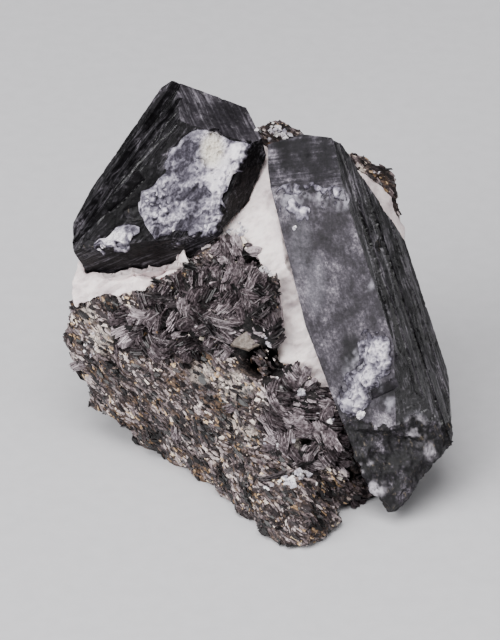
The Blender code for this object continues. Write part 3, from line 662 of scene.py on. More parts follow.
def sapphirine(name, run, tones, hairy, lines, gloss, dull, step, shine, wander):
    """Sapphirine, a hard near-black silicate with a glassy to satin grown face.

    The eye sees a violet-black face with thin growth lines along run, and a grey dust in its
    pits. hairy and lines are how much the finest and the other lines show, gloss to dull its
    roughness, step the height in mm of a line's ledge and wander how far in mm the lines
    stray. shine is its specular level: fine steps trap light, so it shines less than a
    polished stone of its IOR.
    """
    made, tree, place = new_material(name)
    swaying = shaken(tree, place, 7.0, wander)
    growth, hairs, clouds, dust = (
        node(tree, "TexNoise", where, Scale=per_mm(size), Detail=detail, Roughness=rough)
        for where, size, detail, rough in (
            (along_grain(tree, swaying, run, 0.95), 2.4, 4.0, 0.5),
            (along_grain(tree, swaying, run, 0.97), 0.5, 3.0, 0.6),
            (place, 6.0, 9.0, 0.74), (place, 0.5, 5.0, 0.8)))
    edge, dark, film_and_sheen = (node(tree, "Attribute", attribute_name=spots, give="Fac")
                        for spots in ("edge", "dark", "film_and_sheen"))
    mixed = added(tree, (clouds, 1.3), (dust, 0.6), (hairs, hairy))
    middle = 0.95 + 0.5 * hairy
    base = node(tree, "ValToRGB", node(tree, "MapRange", mixed, middle - 0.25, middle + 0.25),
                stops=tones)
    phase = added(tree, (growth, 5.0))
    from_ledge = node(tree, "Math", phase, 0.5, operation="PINGPONG")
    ledge = node(tree, "MapRange", from_ledge, 0.0, 0.05, 1.0, 0.0)
    hair = node(tree, "MapRange", hairs, 0.54, 0.66, 0.0, 0.8)
    drawn = node(tree, "Math", node(tree, "Math", ledge, hair, operation="MAXIMUM"), node(
        tree, "MapRange", clouds, 0.42, 0.58), operation="MULTIPLY")
    # Painted highlight on the ledge edges, broken up by the dust pattern.
    bright = node(tree, "Math", edge, node(tree, "MapRange", dust, 0.42, 0.58, 0.3, 0.9),
                  operation="MULTIPLY")
    # Painted sheen: the white film and the painted sheen lighten the face here.
    film_and_sheen_haze = node(tree, "Math", film_and_sheen, node(
        tree, "MapRange", mixed, middle - 0.3, middle + 0.3, 0.1, 0.9), operation="MULTIPLY")
    # The mixes add the growth lines, a painted highlight on the ledge edges, painted shade where
    # the dark attribute is high, and the white film with its painted sheen.
    for share, colour in ((added(tree, (drawn, lines)), "#908b93"), (bright, "#a5a2a8"),
                          (added(tree, (dark, 0.75)), "#0a090b"), (film_and_sheen_haze, "#b3b0bb")):
        base = node(tree, "MixRGB", share, base, colour)
    bump = node(tree, "Bump", Distance=step * MM, Strength=0.7,
                Height=node(tree, "Math", phase, operation="FRACT"))
    for height, distance, strength in ((hairs, 0.07, 0.6), (dust, 0.1, 0.7)):
        bump = node(tree, "Bump", Distance=distance * MM, Strength=strength, Height=height,
                    Normal=bump)
    return finished(
        made, Base_Color=base, IOR=SAPPHIRINE_IOR, Specular_IOR_Level=shine, Normal=bump,
        Roughness=node(tree, "MapRange", mixed, middle - 0.2, middle + 0.2, gloss, dull))


def broken_sapphirine():
    """Sapphirine broken across, dull and granular: grey-brown, with tan specks of mica."""
    made, tree, place = new_material("sapphirine_broken")
    grained = along_grain(tree, shaken(tree, place, 5.0, 2.0), FOOT_GRAIN_WAY, 0.6)
    body = node(tree, "TexNoise", grained, Scale=per_mm(2.2), Detail=8.0, Roughness=0.75)
    fine = node(tree, "TexNoise", place, Scale=per_mm(0.5), Detail=4.0, Roughness=0.7)
    specks = node(tree, "TexNoise", grained, Scale=per_mm(0.7), Detail=5.0, Roughness=0.75)
    tone = node(tree, "MapRange", added(tree, (body, 1.0), (fine, 0.6)), 0.6, 1.05)
    base = node(tree, "ValToRGB", tone, stops=[
        (0.0, "#060506"), (0.4, "#111012"), (0.65, "#29262b"), (0.85, "#514c53"),
        (1.0, "#837d86")])
    base = node(tree, "MixRGB", node(tree, "MapRange", specks, 0.6, 0.66, 0.0, 0.6), base,
                "#75695a")
    film_and_sheen = node(tree, "Attribute", attribute_name="film_and_sheen", give="Fac")
    # The white film and the painted sheen lighten the broken faces too.
    base = node(tree, "MixRGB", node(tree, "Math", film_and_sheen, node(
        tree, "MapRange", specks, 0.38, 0.5, 0.2, 0.95), operation="MULTIPLY"), base, "#b3adb5")
    return finished(
        made, Base_Color=base, Roughness=0.55, IOR=SAPPHIRINE_IOR, Specular_IOR_Level=0.15,
        Normal=node(tree, "Bump", Distance=0.35 * MM, Strength=0.8, Height=specks))


def calcite():
    """Calcite, a soft white carbonate broken along its cleavage: milky, with a pink cast."""
    made, tree, place = new_material("calcite_milky")
    colour = node(tree, "ValToRGB", node(
        tree, "TexNoise", place, Scale=per_mm(4.5), Detail=7.0, Roughness=0.64), stops=[
        (0.3, "#a8989b"), (0.42, "#d2c3c3"), (0.56, "#e9dcda"), (0.75, "#f2e8e4")])
    split = node(tree, "TexNoise", along_grain(
        tree, shaken(tree, place, 6.0, 2.0), CLEAVAGE_WAY, 0.9), Scale=per_mm(0.9), Detail=3.0,
        Roughness=0.55)
    hollow_shade = node(tree, "NewGeometry", give="Pointiness")
    # Painted shade: the calcite is painted darker along its cleavage steps and in the hollows of
    # its surface.
    for share, shade in ((node(tree, "MapRange", split, 0.6, 0.7, 0.0, 0.35), "#978b8f"),
                         (node(tree, "MapRange", hollow_shade, 0.5, 0.44, 0.0, 0.5), "#a09296")):
        colour = node(tree, "MixRGB", share, colour, shade)
    fine = node(tree, "TexNoise", place, Scale=per_mm(0.6), Detail=4.0)
    soft = node(tree, "Bump", Distance=0.15 * MM, Strength=0.5, Height=fine)
    return finished(
        made, Base_Color=colour, Roughness=0.42, IOR=CALCITE_IOR, Subsurface_Weight=0.2,
        Subsurface_Radius=(1.0, 0.8, 0.75), Subsurface_Scale=0.8 * MM,
        Normal=node(tree, "Bump", Distance=0.25 * MM, Strength=0.5, Height=split, Normal=soft))


def crust_mineral():
    """A waxy crust grown on the crystals: milky white, and blue-grey where it is thin."""
    made, tree, place = new_material("crust_milky")
    milk, cream = (node(tree, "Attribute", attribute_name=spots, give="Fac")
                   for spots in ("milk", "cream"))
    fibres = node(tree, "TexNoise", along_grain(
        tree, shaken(tree, place, 4.0, 2.5), (0.5, 0.8, 0.0), 0.75), Scale=per_mm(1.0),
        Detail=8.0, Roughness=0.78)
    hollow_shade = node(tree, "NewGeometry", give="Pointiness")
    grains = node(tree, "TexNoise", place, Scale=per_mm(0.45), Detail=4.0, Roughness=0.8)
    # Painted shade and highlight: the tone is darker in the crust's crevices and lighter on its
    # bumps.
    tone = added(tree, (milk, 0.85), (fibres, 1.0), (grains, 0.45), (node(
        tree, "MapRange", hollow_shade, 0.4, 0.6, -0.12, 0.1), 1.0))
    colour = node(tree, "ValToRGB", node(tree, "MapRange", tone, 0.62, 1.68), stops=[
        (0.0, "#100e12"), (0.2, "#35323a"), (0.42, "#726e7a"), (0.66, "#b4afba"),
        (1.0, "#ece6ea")])
    return finished(
        made, Base_Color=node(tree, "MixRGB", added(tree, (cream, 0.7)), colour, "#c9c2ae"),
        Roughness=0.5, IOR=CRUST_IOR,
        Specular_IOR_Level=node(tree, "MapRange", milk, 0.1, 0.7, 0.02, 0.35),
        Normal=node(tree, "Bump", Distance=0.2 * MM, Strength=0.8, Height=grains))


def rock_body():
    """Biotite rock, broken: dark mica between pale, tan and rusty grains drawn out one way."""
    made, tree, place = new_material("biotite_rock")
    ochre, mica, cream, hollow_shade = (node(tree, "Attribute", attribute_name=spots, give="Fac")
                                  for spots in ("ochre", "mica", "cream", "hollow_shade"))
    grained = along_grain(tree, shaken(tree, place, 7.0, 4.0), GRAIN_WAY, 0.8)
    large = node(tree, "TexNoise", grained, Scale=per_mm(0.9), Detail=8.0, Roughness=0.8)
    small = node(tree, "TexNoise", place, Scale=per_mm(0.3), Detail=3.0, Roughness=0.7)
    rust = node(tree, "TexNoise", grained, Scale=per_mm(1.6), Detail=6.0, Roughness=0.74)
    body = node(tree, "MapRange", added(tree, (large, 1.0), (small, 0.5)), 0.52, 1.02)
    stone = node(tree, "ValToRGB", body, stops=[
        (0.0, "#0a0909"), (0.3, "#1e191a"), (0.5, "#3f3635"), (0.68, "#6b5c57"),
        (0.84, "#9c8b81"), (1.0, "#d2c1b3")])
    leaves = node(tree, "ValToRGB", body, stops=[
        (0.0, "#050505"), (0.4, "#100f10"), (0.65, "#231f1f"), (0.85, "#453e3e"),
        (1.0, "#776d6d")])
    rusty = node(tree, "MapRange", added(tree, (rust, 1.0), (ochre, 0.08)), 0.55, 0.64, 0.0, 0.7)
    pale = node(tree, "Math", cream, node(tree, "MapRange", body, 0.2, 0.7),
                operation="MULTIPLY")
    colour = stone
    # Painted shade: the mouths of the hollows are painted near-black and lose their shine.
    for share, over in ((rusty, "#705946"), (mica, leaves), (pale, "#c6bbb3"),
                        (hollow_shade, "#040404")):
        colour = node(tree, "MixRGB", share, colour, over)
    return finished(
        made, Base_Color=colour, Roughness=0.55, IOR=ROCK_IOR,
        Specular_IOR_Level=node(tree, "MapRange", hollow_shade, 0.0, 0.6, 0.2, 0.0),
        Normal=node(tree, "Bump", Distance=0.4 * MM, Strength=0.8, Height=body))


def mineral_grains(name, tones, rough, ior):
    """Grains or leaves of one mineral, each with its own tone, and clouded or streaked."""
    made, tree, place = new_material(name)
    tone = node(tree, "Attribute", attribute_name="tone", give="Fac")
    mottle = node(tree, "TexNoise", place, Scale=per_mm(0.5), Detail=4.0, Roughness=0.7)
    shade = added(tree, (tone, 1.0), (node(
        tree, "MapRange", mottle, 0.35, 0.65, -0.25, 0.25), 1.0))
    return finished(
        made, Base_Color=node(tree, "ValToRGB", shade, stops=tones), Roughness=rough, IOR=ior,
        Specular_IOR_Level=0.25,
        Normal=node(tree, "Bump", Distance=0.08 * MM, Strength=0.5, Height=mottle))


# Small things, modelled once and copied all over

def plate_shape(sides, seed):
    """A thin mica plate of irregular outline, one unit across and one unit thick."""
    chance = random.Random(seed)
    bpy.ops.object.select_all(action="DESELECT")
    bpy.ops.mesh.primitive_cylinder_add(vertices=sides, radius=0.5, depth=1.0)
    return take_shape(lambda co: Vector((
        co.x * chance.uniform(0.75, 1.15), co.y * chance.uniform(0.75, 1.15), co.z)))


def chip_shape(seed):
    """An angular cleaved chip, one unit long."""
    chance = random.Random(seed)
    bpy.ops.object.select_all(action="DESELECT")
    bpy.ops.mesh.primitive_cube_add(size=1.0)
    return take_shape(lambda co: Vector([part * chance.uniform(0.45, 1.15) for part in co]))


def grain_shape(seed):
    """An uneven rounded grain, one unit across."""
    bpy.ops.object.select_all(action="DESELECT")
    bpy.ops.mesh.primitive_ico_sphere_add(subdivisions=2, radius=0.5)
    return take_shape(lambda co: co * (
        1.0 + 0.45 * noise.noise(co * 2.6 + Vector((seed * 7.0, 0, 0)))))


def book_shape(leaves, seed):
    """A book of mica: thin leaves one on another, none quite in line, one unit each way."""
    chance = random.Random(seed)
    points, faces, total = [], [], 0
    for leaf in range(leaves):
        leaf_points, leaf_faces = plate_shape(chance.choice((5, 6)), seed * 10 + leaf)
        turn = chance.uniform(-0.12, 0.12)
        spin = np.array(((math.cos(turn), math.sin(turn), 0),
                         (-math.sin(turn), math.cos(turn), 0), (0, 0, 0.8 / leaves)))
        points.append(leaf_points @ spin + (
            chance.uniform(-0.08, 0.08), chance.uniform(-0.08, 0.08),
            (leaf + chance.uniform(0.45, 0.55)) / leaves - 0.5))
        faces.append(leaf_faces + total)
        total += len(leaf_points)
    return np.concatenate(points), np.concatenate(faces)


def take_shape(change):
    """The active object's points and faces as arrays, after a change to each point."""
    shape = bpy.context.object
    points = [tuple(change(vert.co.copy())) for vert in shape.data.vertices]
    apart = bmesh.new()
    apart.from_mesh(shape.data)
    bmesh.ops.triangulate(apart, faces=apart.faces[:])
    faces = [[vert.index for vert in face.verts] for face in apart.faces]
    apart.free()
    bpy.data.objects.remove(shape)
    return np.array(points), np.array(faces)


def surface_points(piece, count, seed):
    """Points spread evenly over a piece's surface, with the normal at each."""
    dice = np.random.default_rng(seed)
    mesh = piece.data
    mesh.calc_loop_triangles()
    points = listed(mesh.vertices, "co")[listed(mesh.loop_triangles, "vertices", 3, np.int32)]
    normal = np.cross(points[:, 1] - points[:, 0], points[:, 2] - points[:, 0])
    size = np.linalg.norm(normal, axis=1)
    chosen = dice.choice(len(points), count, p=size / size.sum())
    first, second = dice.random((2, count))
    flip = first + second > 1
    first[flip], second[flip] = 1 - first[flip], 1 - second[flip]
    three = points[chosen]
    place = (three[:, 0] + (three[:, 1] - three[:, 0]) * first[:, None]
             + (three[:, 2] - three[:, 0]) * second[:, None])
    return place, normal[chosen] / size[chosen][:, None]


def copies(name, placed):
    """One mesh of many small copies, each a shape, its three axes, its middle and its tone."""
    points, faces, tones, total = [], [], [], 0
    for (shape_points, shape_faces), axes, middle, tone in placed:
        made = shape_points @ axes + middle
        made[:, 2] = np.maximum(made[:, 2], 0.0)
        points.append(made)
        faces.append(shape_faces + total)
        tones.append(np.full(len(made), tone))
        total += len(made)
    mesh = bpy.data.meshes.new(name)
    mesh.from_pydata(np.concatenate(points).tolist(), [], np.concatenate(faces).tolist())
    mesh.update()
    piece = bpy.data.objects.new(name, mesh)
    bpy.context.scene.collection.objects.link(piece)
    note(piece, "tone", np.concatenate(tones))
    edit_all(piece, bpy.ops.mesh.normals_make_consistent, inside=False)
    return piece


def turned(long_way, upright, sizes):
    """The axes of a copy: its long way, its side and its upright, as long as sizes in mm."""
    side = upright.cross(long_way).normalized()
    long_way = side.cross(upright).normalized()
    return np.array((long_way, side, upright)) * np.array(sizes)[:, None] * MM


def scatter(name, shapes, where, sizes, slim, flat, sink, seed, lie, pale):
    """Copies of a few shapes at these places. where is points and normals.

    sizes are the shortest and longest in mm, slim and flat how wide and thick they are to
    their length, sink how deep they sit as a share of their thickness, lie turns each one
    and pale gives its tone.
    """
    dice = random.Random(seed)
    placed = []
    for place, normal, tone in zip(*where, pale):
        long_way, upright = lie(place, Vector(normal), dice)
        length = sizes[0] + (sizes[1] - sizes[0]) * dice.random() ** 1.6
        thick = length * dice.uniform(*flat)
        axes = turned(long_way, upright, (length, length * dice.uniform(*slim), thick))
        placed.append((dice.choice(shapes), axes,
                       place - np.array(normal) * sink * thick * MM,
                       tone + dice.uniform(-0.25, 0.25)))
    return copies(name, placed)


def random_way(dice):
    """Any direction, by chance."""
    while True:
        made = Vector((dice.uniform(-1, 1), dice.uniform(-1, 1), dice.uniform(-1, 1)))
        if 0.1 < made.length < 1:
            return made.normalized()


def lie_flat(spread):
    """Things that lie on the surface with their long way along the rock's grain."""
    grain = way(*GRAIN_WAY)

    def lie(place, normal, dice):
        upright = (normal + random_way(dice) * spread).normalized()
        return (grain + random_way(dice) * 0.3).normalized(), upright

    return lie


def in_fans(spread):
    """Mica leaves seen nearly edge on, in bundles that each slope their own way."""
    def lie(place, normal, dice):
        across, up, back = as_seen([place])[0]
        rise = float(np.clip((up - MICA_TURNS[0]) / (MICA_TURNS[1] - MICA_TURNS[0]), 0, 1))
        slope = MICA_SLOPE + (MICA_TOP_SLOPE - MICA_SLOPE) * rise
        bundle = Vector((across, up, back)) / 3.0
        bundle += noise.noise_vector(bundle * 0.6) * 0.5
        slope += 1.9 * (noise.cell(bundle) - 0.5) + dice.gauss(0, spread)
        along = way(math.cos(slope), math.sin(slope), dice.uniform(-0.3, 0.3))
        upright = way(-math.sin(slope), math.cos(slope), dice.uniform(-1.0, 0.1))
        return along, upright

    return lie


# The pieces

def fine_crystal(name, node_name, scale):
    """A crystal's CAD node, remade with small even faces but with its sharp edges kept."""
    piece = copy_of(name, node_name)
    apply(piece, "REMESH", mode="SHARP", octree_depth=8, scale=scale, sharpness=1.0,
          use_remove_disconnected=True)
    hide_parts(node_name)
    return piece


def make_crystals():
    """Both crystals, and the looks of their faces by name."""
    broken = broken_sapphirine()
    looks = {name: sapphirine("sapphirine_" + name, *look)
             for name, look in SAPPHIRINE_LOOKS.items()}
    right = fine_crystal("right_crystal_faces", "right_crystal", RIGHT_FINENESS)
    left = fine_crystal("left_crystal_faces", "left_crystal", LEFT_FINENESS)
    finish_crystal(right, RIGHT_FACES, RIGHT_LEDGES, 11.0, {
        face: looks[look] for face, look in RIGHT_LOOKS.items()}, broken, FOOT_TOP, LONG_LEDGES)
    finish_crystal(left, LEFT_FACES, LEFT_LEDGES, 23.0, {
        face: looks[look] for face, look in LEFT_LOOKS.items()}, broken)
    return right, left, looks


def make_calcite():
    """The calcite, with the uneven stepped skin of its cleavage."""
    piece = copy_of("calcite_mass", "calcite")
    apply(piece, "DISPLACE", strength=SKIN_GROWTH * MM, mid_level=0.0)
    apply(piece, "REMESH", mode="VOXEL", voxel_size=CALCITE_VOXEL * MM)

    def broken(places, normals):
        cleaved = stretched(places, CLEAVAGE_WAY, 0.75)
        steps = ripple(cleaved, 2.2, 3.0) * 3.0
        return (0.3 * (np.floor(steps) - steps * 0.4) / 3.0 + 0.24 * ripple(cleaved, 1.0, 8.0)
                + 0.1 * ripple(places, 0.6, 5.0) + 0.25 * ripple(places, 4.5, 2.0)
                - 1.9 * near(places, UNDERCUT_SPOTS) * (places[:, 2] < UNDERCUT_REACH))

    carve(piece, broken)
    piece.data.materials.append(calcite())
    smooth(piece, 30)
    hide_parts("calcite")
    return piece


def mica_share(places, normals):
    """1 where the rock is coarse mica, 0 where it is finer speckled rock."""
    wobble = np.stack([ripple(places, 2.5, 41.0), ripple(places, 2.5, 47.0)], 1) * 1.8
    front = inside(places[:, :2] + wobble, MICA_AREA)
    patches = smooth_step(ripple(places, 9.0, 21.0), 0.1, 0.4)
    return np.where(towards_eye(normals), front.astype(float), patches)


def hollow_share(places, normals, spots=HOLLOWS):
    """1 inside the mouths of the dark hollows."""
    return near(places, spots) * towards_eye(normals, -0.5) * (places[:, 2] < HOLLOWS_REACH)


def rough_rock(places, normals):
    """The broken skin of the rock: ridges along its grain, and deeper holes in the mica."""
    wave = np.stack([ripple(places, 8.0, shift) for shift in (61.0, 67.0, 71.0)], 1) * 2.2
    grained = stretched(places + wave, GRAIN_WAY, 0.7)
    mica = mica_share(places, normals)
    return (0.45 * ripple(places, 3.4, 2.0) + 0.3 * ripple(grained, 1.5, 5.0)
            - 0.35 * np.abs(ripple(grained, 1.1, 5.0)) + 0.14 * ripple(grained, 0.65, 9.0)
            - mica * 0.6 * smooth_step(ripple(grained, 2.4, 14.0), 0.0, 0.5)
            - 1.0 * hollow_share(places, normals) - 1.2 * hollow_share(
                places, normals, HOLLOWS[:1]))


def make_rock(name, node_name, material):
    """One lump of the rock, with its broken skin and the places of its tones noted."""
    piece = copy_of(name, node_name)
    apply(piece, "DISPLACE", strength=SKIN_GROWTH * MM, mid_level=0.0)
    apply(piece, "REMESH", mode="VOXEL", voxel_size=ROCK_VOXEL * MM)
    carve(piece, rough_rock)
    points, normals = mesh_arrays(piece)
    places = as_seen(points)
    seen_side = towards_eye(normals, -0.1)
    note(piece, "mica", mica_share(places, normals))
    note(piece, "cream", near(places, CREAM_SPOTS) * seen_side)
    note(piece, "ochre", near(places, OCHRE_SPOTS) * seen_side)
    # Painted shade: marks the hollow mouths that the rock's material paints near-black.
    note(piece, "hollow_shade", hollow_share(places, normals))
    piece.data.materials.append(material)
    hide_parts(node_name)
    return piece


def from_rim(places, height):
    """How far each point of a crust lies from the rim where it meets its crystal, in mm."""
    rim = places[np.abs(height) < 0.15]
    tree = KDTree(len(rim))
    for number, place in enumerate(rim):
        tree.insert((place[0], place[1], 0), number)
    tree.balance()
    return np.array([tree.find((place[0], place[1], 0))[2] for place in places])


def make_crust(name, node_name, crystal, faces, face, looks, dense, balls, thin, cover, rise,
               seed):
    """A crust in patches: thick and white, thin and blue-grey, or open to its crystal.

    looks is the crust's material and that of the crystal's face, which shows in the open
    places. cover is how much crust there is where it is neither thick nor thin, and rise
    how high it stands in mm.
    """
    piece = copy_of(name, node_name)
    normal = np.array(facing(*faces[face]))
    corners = listed(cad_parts[crystal].data.vertices, "co")
    plane = (corners @ normal).max()
    apply(piece, "DISPLACE", strength=CRUST_GROWTH * MM, mid_level=0.0)
    apply(piece, "REMESH", mode="VOXEL", voxel_size=CRUST_VOXEL * MM)
    points, _ = mesh_arrays(piece)
    places = as_seen(points)
    height = (points @ normal - plane) / MM
    on_plane = points - np.outer(height * MM, normal)
    # How far the crystal falls away below the face's plane, past the face's own edges.
    fall = np.zeros(len(points))
    for turn, lean in faces.values():
        other = np.array(facing(turn, lean))
        share = normal @ other
        if 0.3 < share < 0.999:
            beyond = (on_plane @ other - (corners @ other).max()) / MM
            fall = np.maximum(fall, beyond / share)
    streaked = stretched(places, (0.8, 0.6, 0.0), 0.5)
    thick, small, low = near(places, dense), near(places, balls), near(places, thin)
    rim = from_rim(places, height) + 1.2 * ripple(places, 1.1, seed + 12)
    milk = (cover + 0.6 * thick - 0.22 * low + 0.7 * ripple(streaked, 3.4, seed)
            * (1 - 0.8 * thick) + 0.7 * ripple(streaked, 1.5, seed + 9) * (1 - 0.5 * thick)
            + 0.4 * ripple(places, 0.7, seed + 4)
            + 0.8 * small * (lumps(places, 1.2, seed) - 0.5)
            - 0.8 * (1 - smooth_step(rim, 0.0, 1.2)))
    # A crust that covers its place well stays closed away from its rim.
    milk = np.maximum(milk, (cover - 0.22) * smooth_step(rim, 0.8, 1.8))
    share = smooth_step(milk, 0.0, 1.0)
    grit = (0.3 * ripple(places, 1.6, seed + 6) + 0.3 * ripple(places, 0.7, seed + 2)
            + 0.3 * ripple(places, 0.35, seed + 3))
    level = 0.04 + rise * share * (0.5 + 0.4 * thick + 0.4 * small + grit)
    level = np.where(milk < BARE, -0.02, np.minimum(level, np.maximum(height, 0.1)))
    level = np.where(height > 0, level, height - 0.3) - fall
    move_points(piece, on_plane + np.outer(level * MM, normal))
    note(piece, "milk", np.clip(milk, 0, 1) * (0.75 + 0.25 * thick))
    note(piece, "cream", near(places, CREAM_CAST))
    note_spots(piece)
    for material in looks:
        piece.data.materials.append(material)
    start = listed(piece.data.polygons, "loop_start", 1, np.int32)
    corner = listed(piece.data.loops, "vertex_index", 1, np.int32)
    piece.data.polygons.foreach_set(
        "material_index", (milk[corner[start]] < BARE).astype(np.int32))
    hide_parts(node_name)
    return piece


def surface_under(tree, across, up):
    """What the eye sees at one place: the point in metres and its normal, or None."""
    point, normal, _, _ = tree.ray_cast(seen(across, up, SIGHT_START), way(0, 0, 1))
    return None if point is None else (point, normal)


def make_white_grains(tree):
    """The clusters of white grains, each set into whatever the eye sees at its place."""
    dice = random.Random(12)
    shapes = [chip_shape(seed) for seed in range(5)] + [grain_shape(seed) for seed in range(5)]
    placed = []
    for across, up, wide, high, size, count in WHITE_CLUSTERS:
        for _ in range(count):
            under = surface_under(
                tree, across + dice.gauss(0, 0.55) * wide, up + dice.gauss(0, 0.55) * high)
            if under is None:
                continue
            point, normal = under
            length = size * dice.uniform(0.55, 1.1)
            axes = turned(random_way(dice), (normal + random_way(dice) * 0.7).normalized(),
                          (length, length * dice.uniform(0.6, 0.9), length * 0.65))
            placed.append((dice.choice(shapes), axes, np.array(point), dice.random()))
    piece = copies("white_grains", placed)
    piece.data.materials.append(mineral_grains("white_grains", [
        (0.0, "#8f8b96"), (0.3, "#bdb8bf"), (0.6, "#ded8da"), (1.0, "#efebe9")], 0.4,
        CRUST_IOR))
    return piece


def make_large_books(tree):
    """The large mica books that stand out by eye, edge on, their leaves showing as lines."""
    dice = random.Random(31)
    placed = []
    for number, (across, up, slope, length, high, tone) in enumerate(LARGE_BOOKS):
        under = surface_under(tree, across, up)
        if under is None:
            continue
        slope = math.radians(slope)
        long_way = way(math.cos(slope), math.sin(slope), dice.uniform(-0.15, 0.15))
        upright = way(-math.sin(slope), math.cos(slope), dice.uniform(-0.5, -0.1))
        axes = turned(long_way, upright, (length, 2.0, high))
        placed.append((book_shape(4 + int(high * 5), number + 60), axes,
                       np.array(under[0] + way(0, 0, 1) * 0.35 * MM), tone))
    piece = copies("large_mica_books", placed)
    piece.data.materials.append(mineral_grains("mica_large", [
        (0.0, "#0e0d0e"), (0.35, "#262324"), (0.7, "#5f5659"), (1.0, "#9a9094")], 0.3, MICA_IOR))
    return piece


def make_flake(tree):
    """The grey-tan cleavage flake that stands over the dark pocket."""
    outline = [(-4.2, 35.6), (-2.0, 37.0), (0.4, 37.0), (1.0, 36.2), (0.2, 34.4), (-2.2, 33.6),
               (-5.2, 34.4)]
    deep = SIGHT_START + min(
        tree.ray_cast(seen(*place, SIGHT_START), way(0, 0, 1))[3] for place in outline) / MM
    bpy.ops.object.select_all(action="DESELECT")
    bpy.ops.mesh.primitive_circle_add(vertices=len(outline), fill_type="NGON")
    piece = bpy.context.object
    piece.name = "cleaved_flake"
    for vert, place in zip(piece.data.vertices, outline):
        vert.co = seen(place[0], place[1], deep + 0.25 * (place[1] - 35.0) + 0.5)
    edit_all(piece, bpy.ops.mesh.extrude_region_move,
             TRANSFORM_OT_translate={"value": way(0, -0.2, 1) * 1.4 * MM})
    edit_all(piece, bpy.ops.mesh.normals_make_consistent, inside=False)
    apply(piece, "REMESH", mode="VOXEL", voxel_size=FLAKE_VOXEL * MM)
    carve(piece, lambda places, normals: (
        0.18 * ripple(stretched(places, (0.6, 0.8, 0), 0.7), 0.9, 2.0)
        + 0.3 * ripple(places, 2.0, 4.0)))
    note(piece, "tone", np.full(len(piece.data.vertices), 0.5))
    piece.data.materials.append(mineral_grains(
        "cleaved_tan", [(0.0, "#3d3631"), (0.5, "#645a53"), (1.0, "#978d85")], 0.45,
        CRUST_IOR))
    return piece


def keep(where, chosen):
    """Only the chosen ones of these points and normals."""
    return where[0][chosen], where[1][chosen]


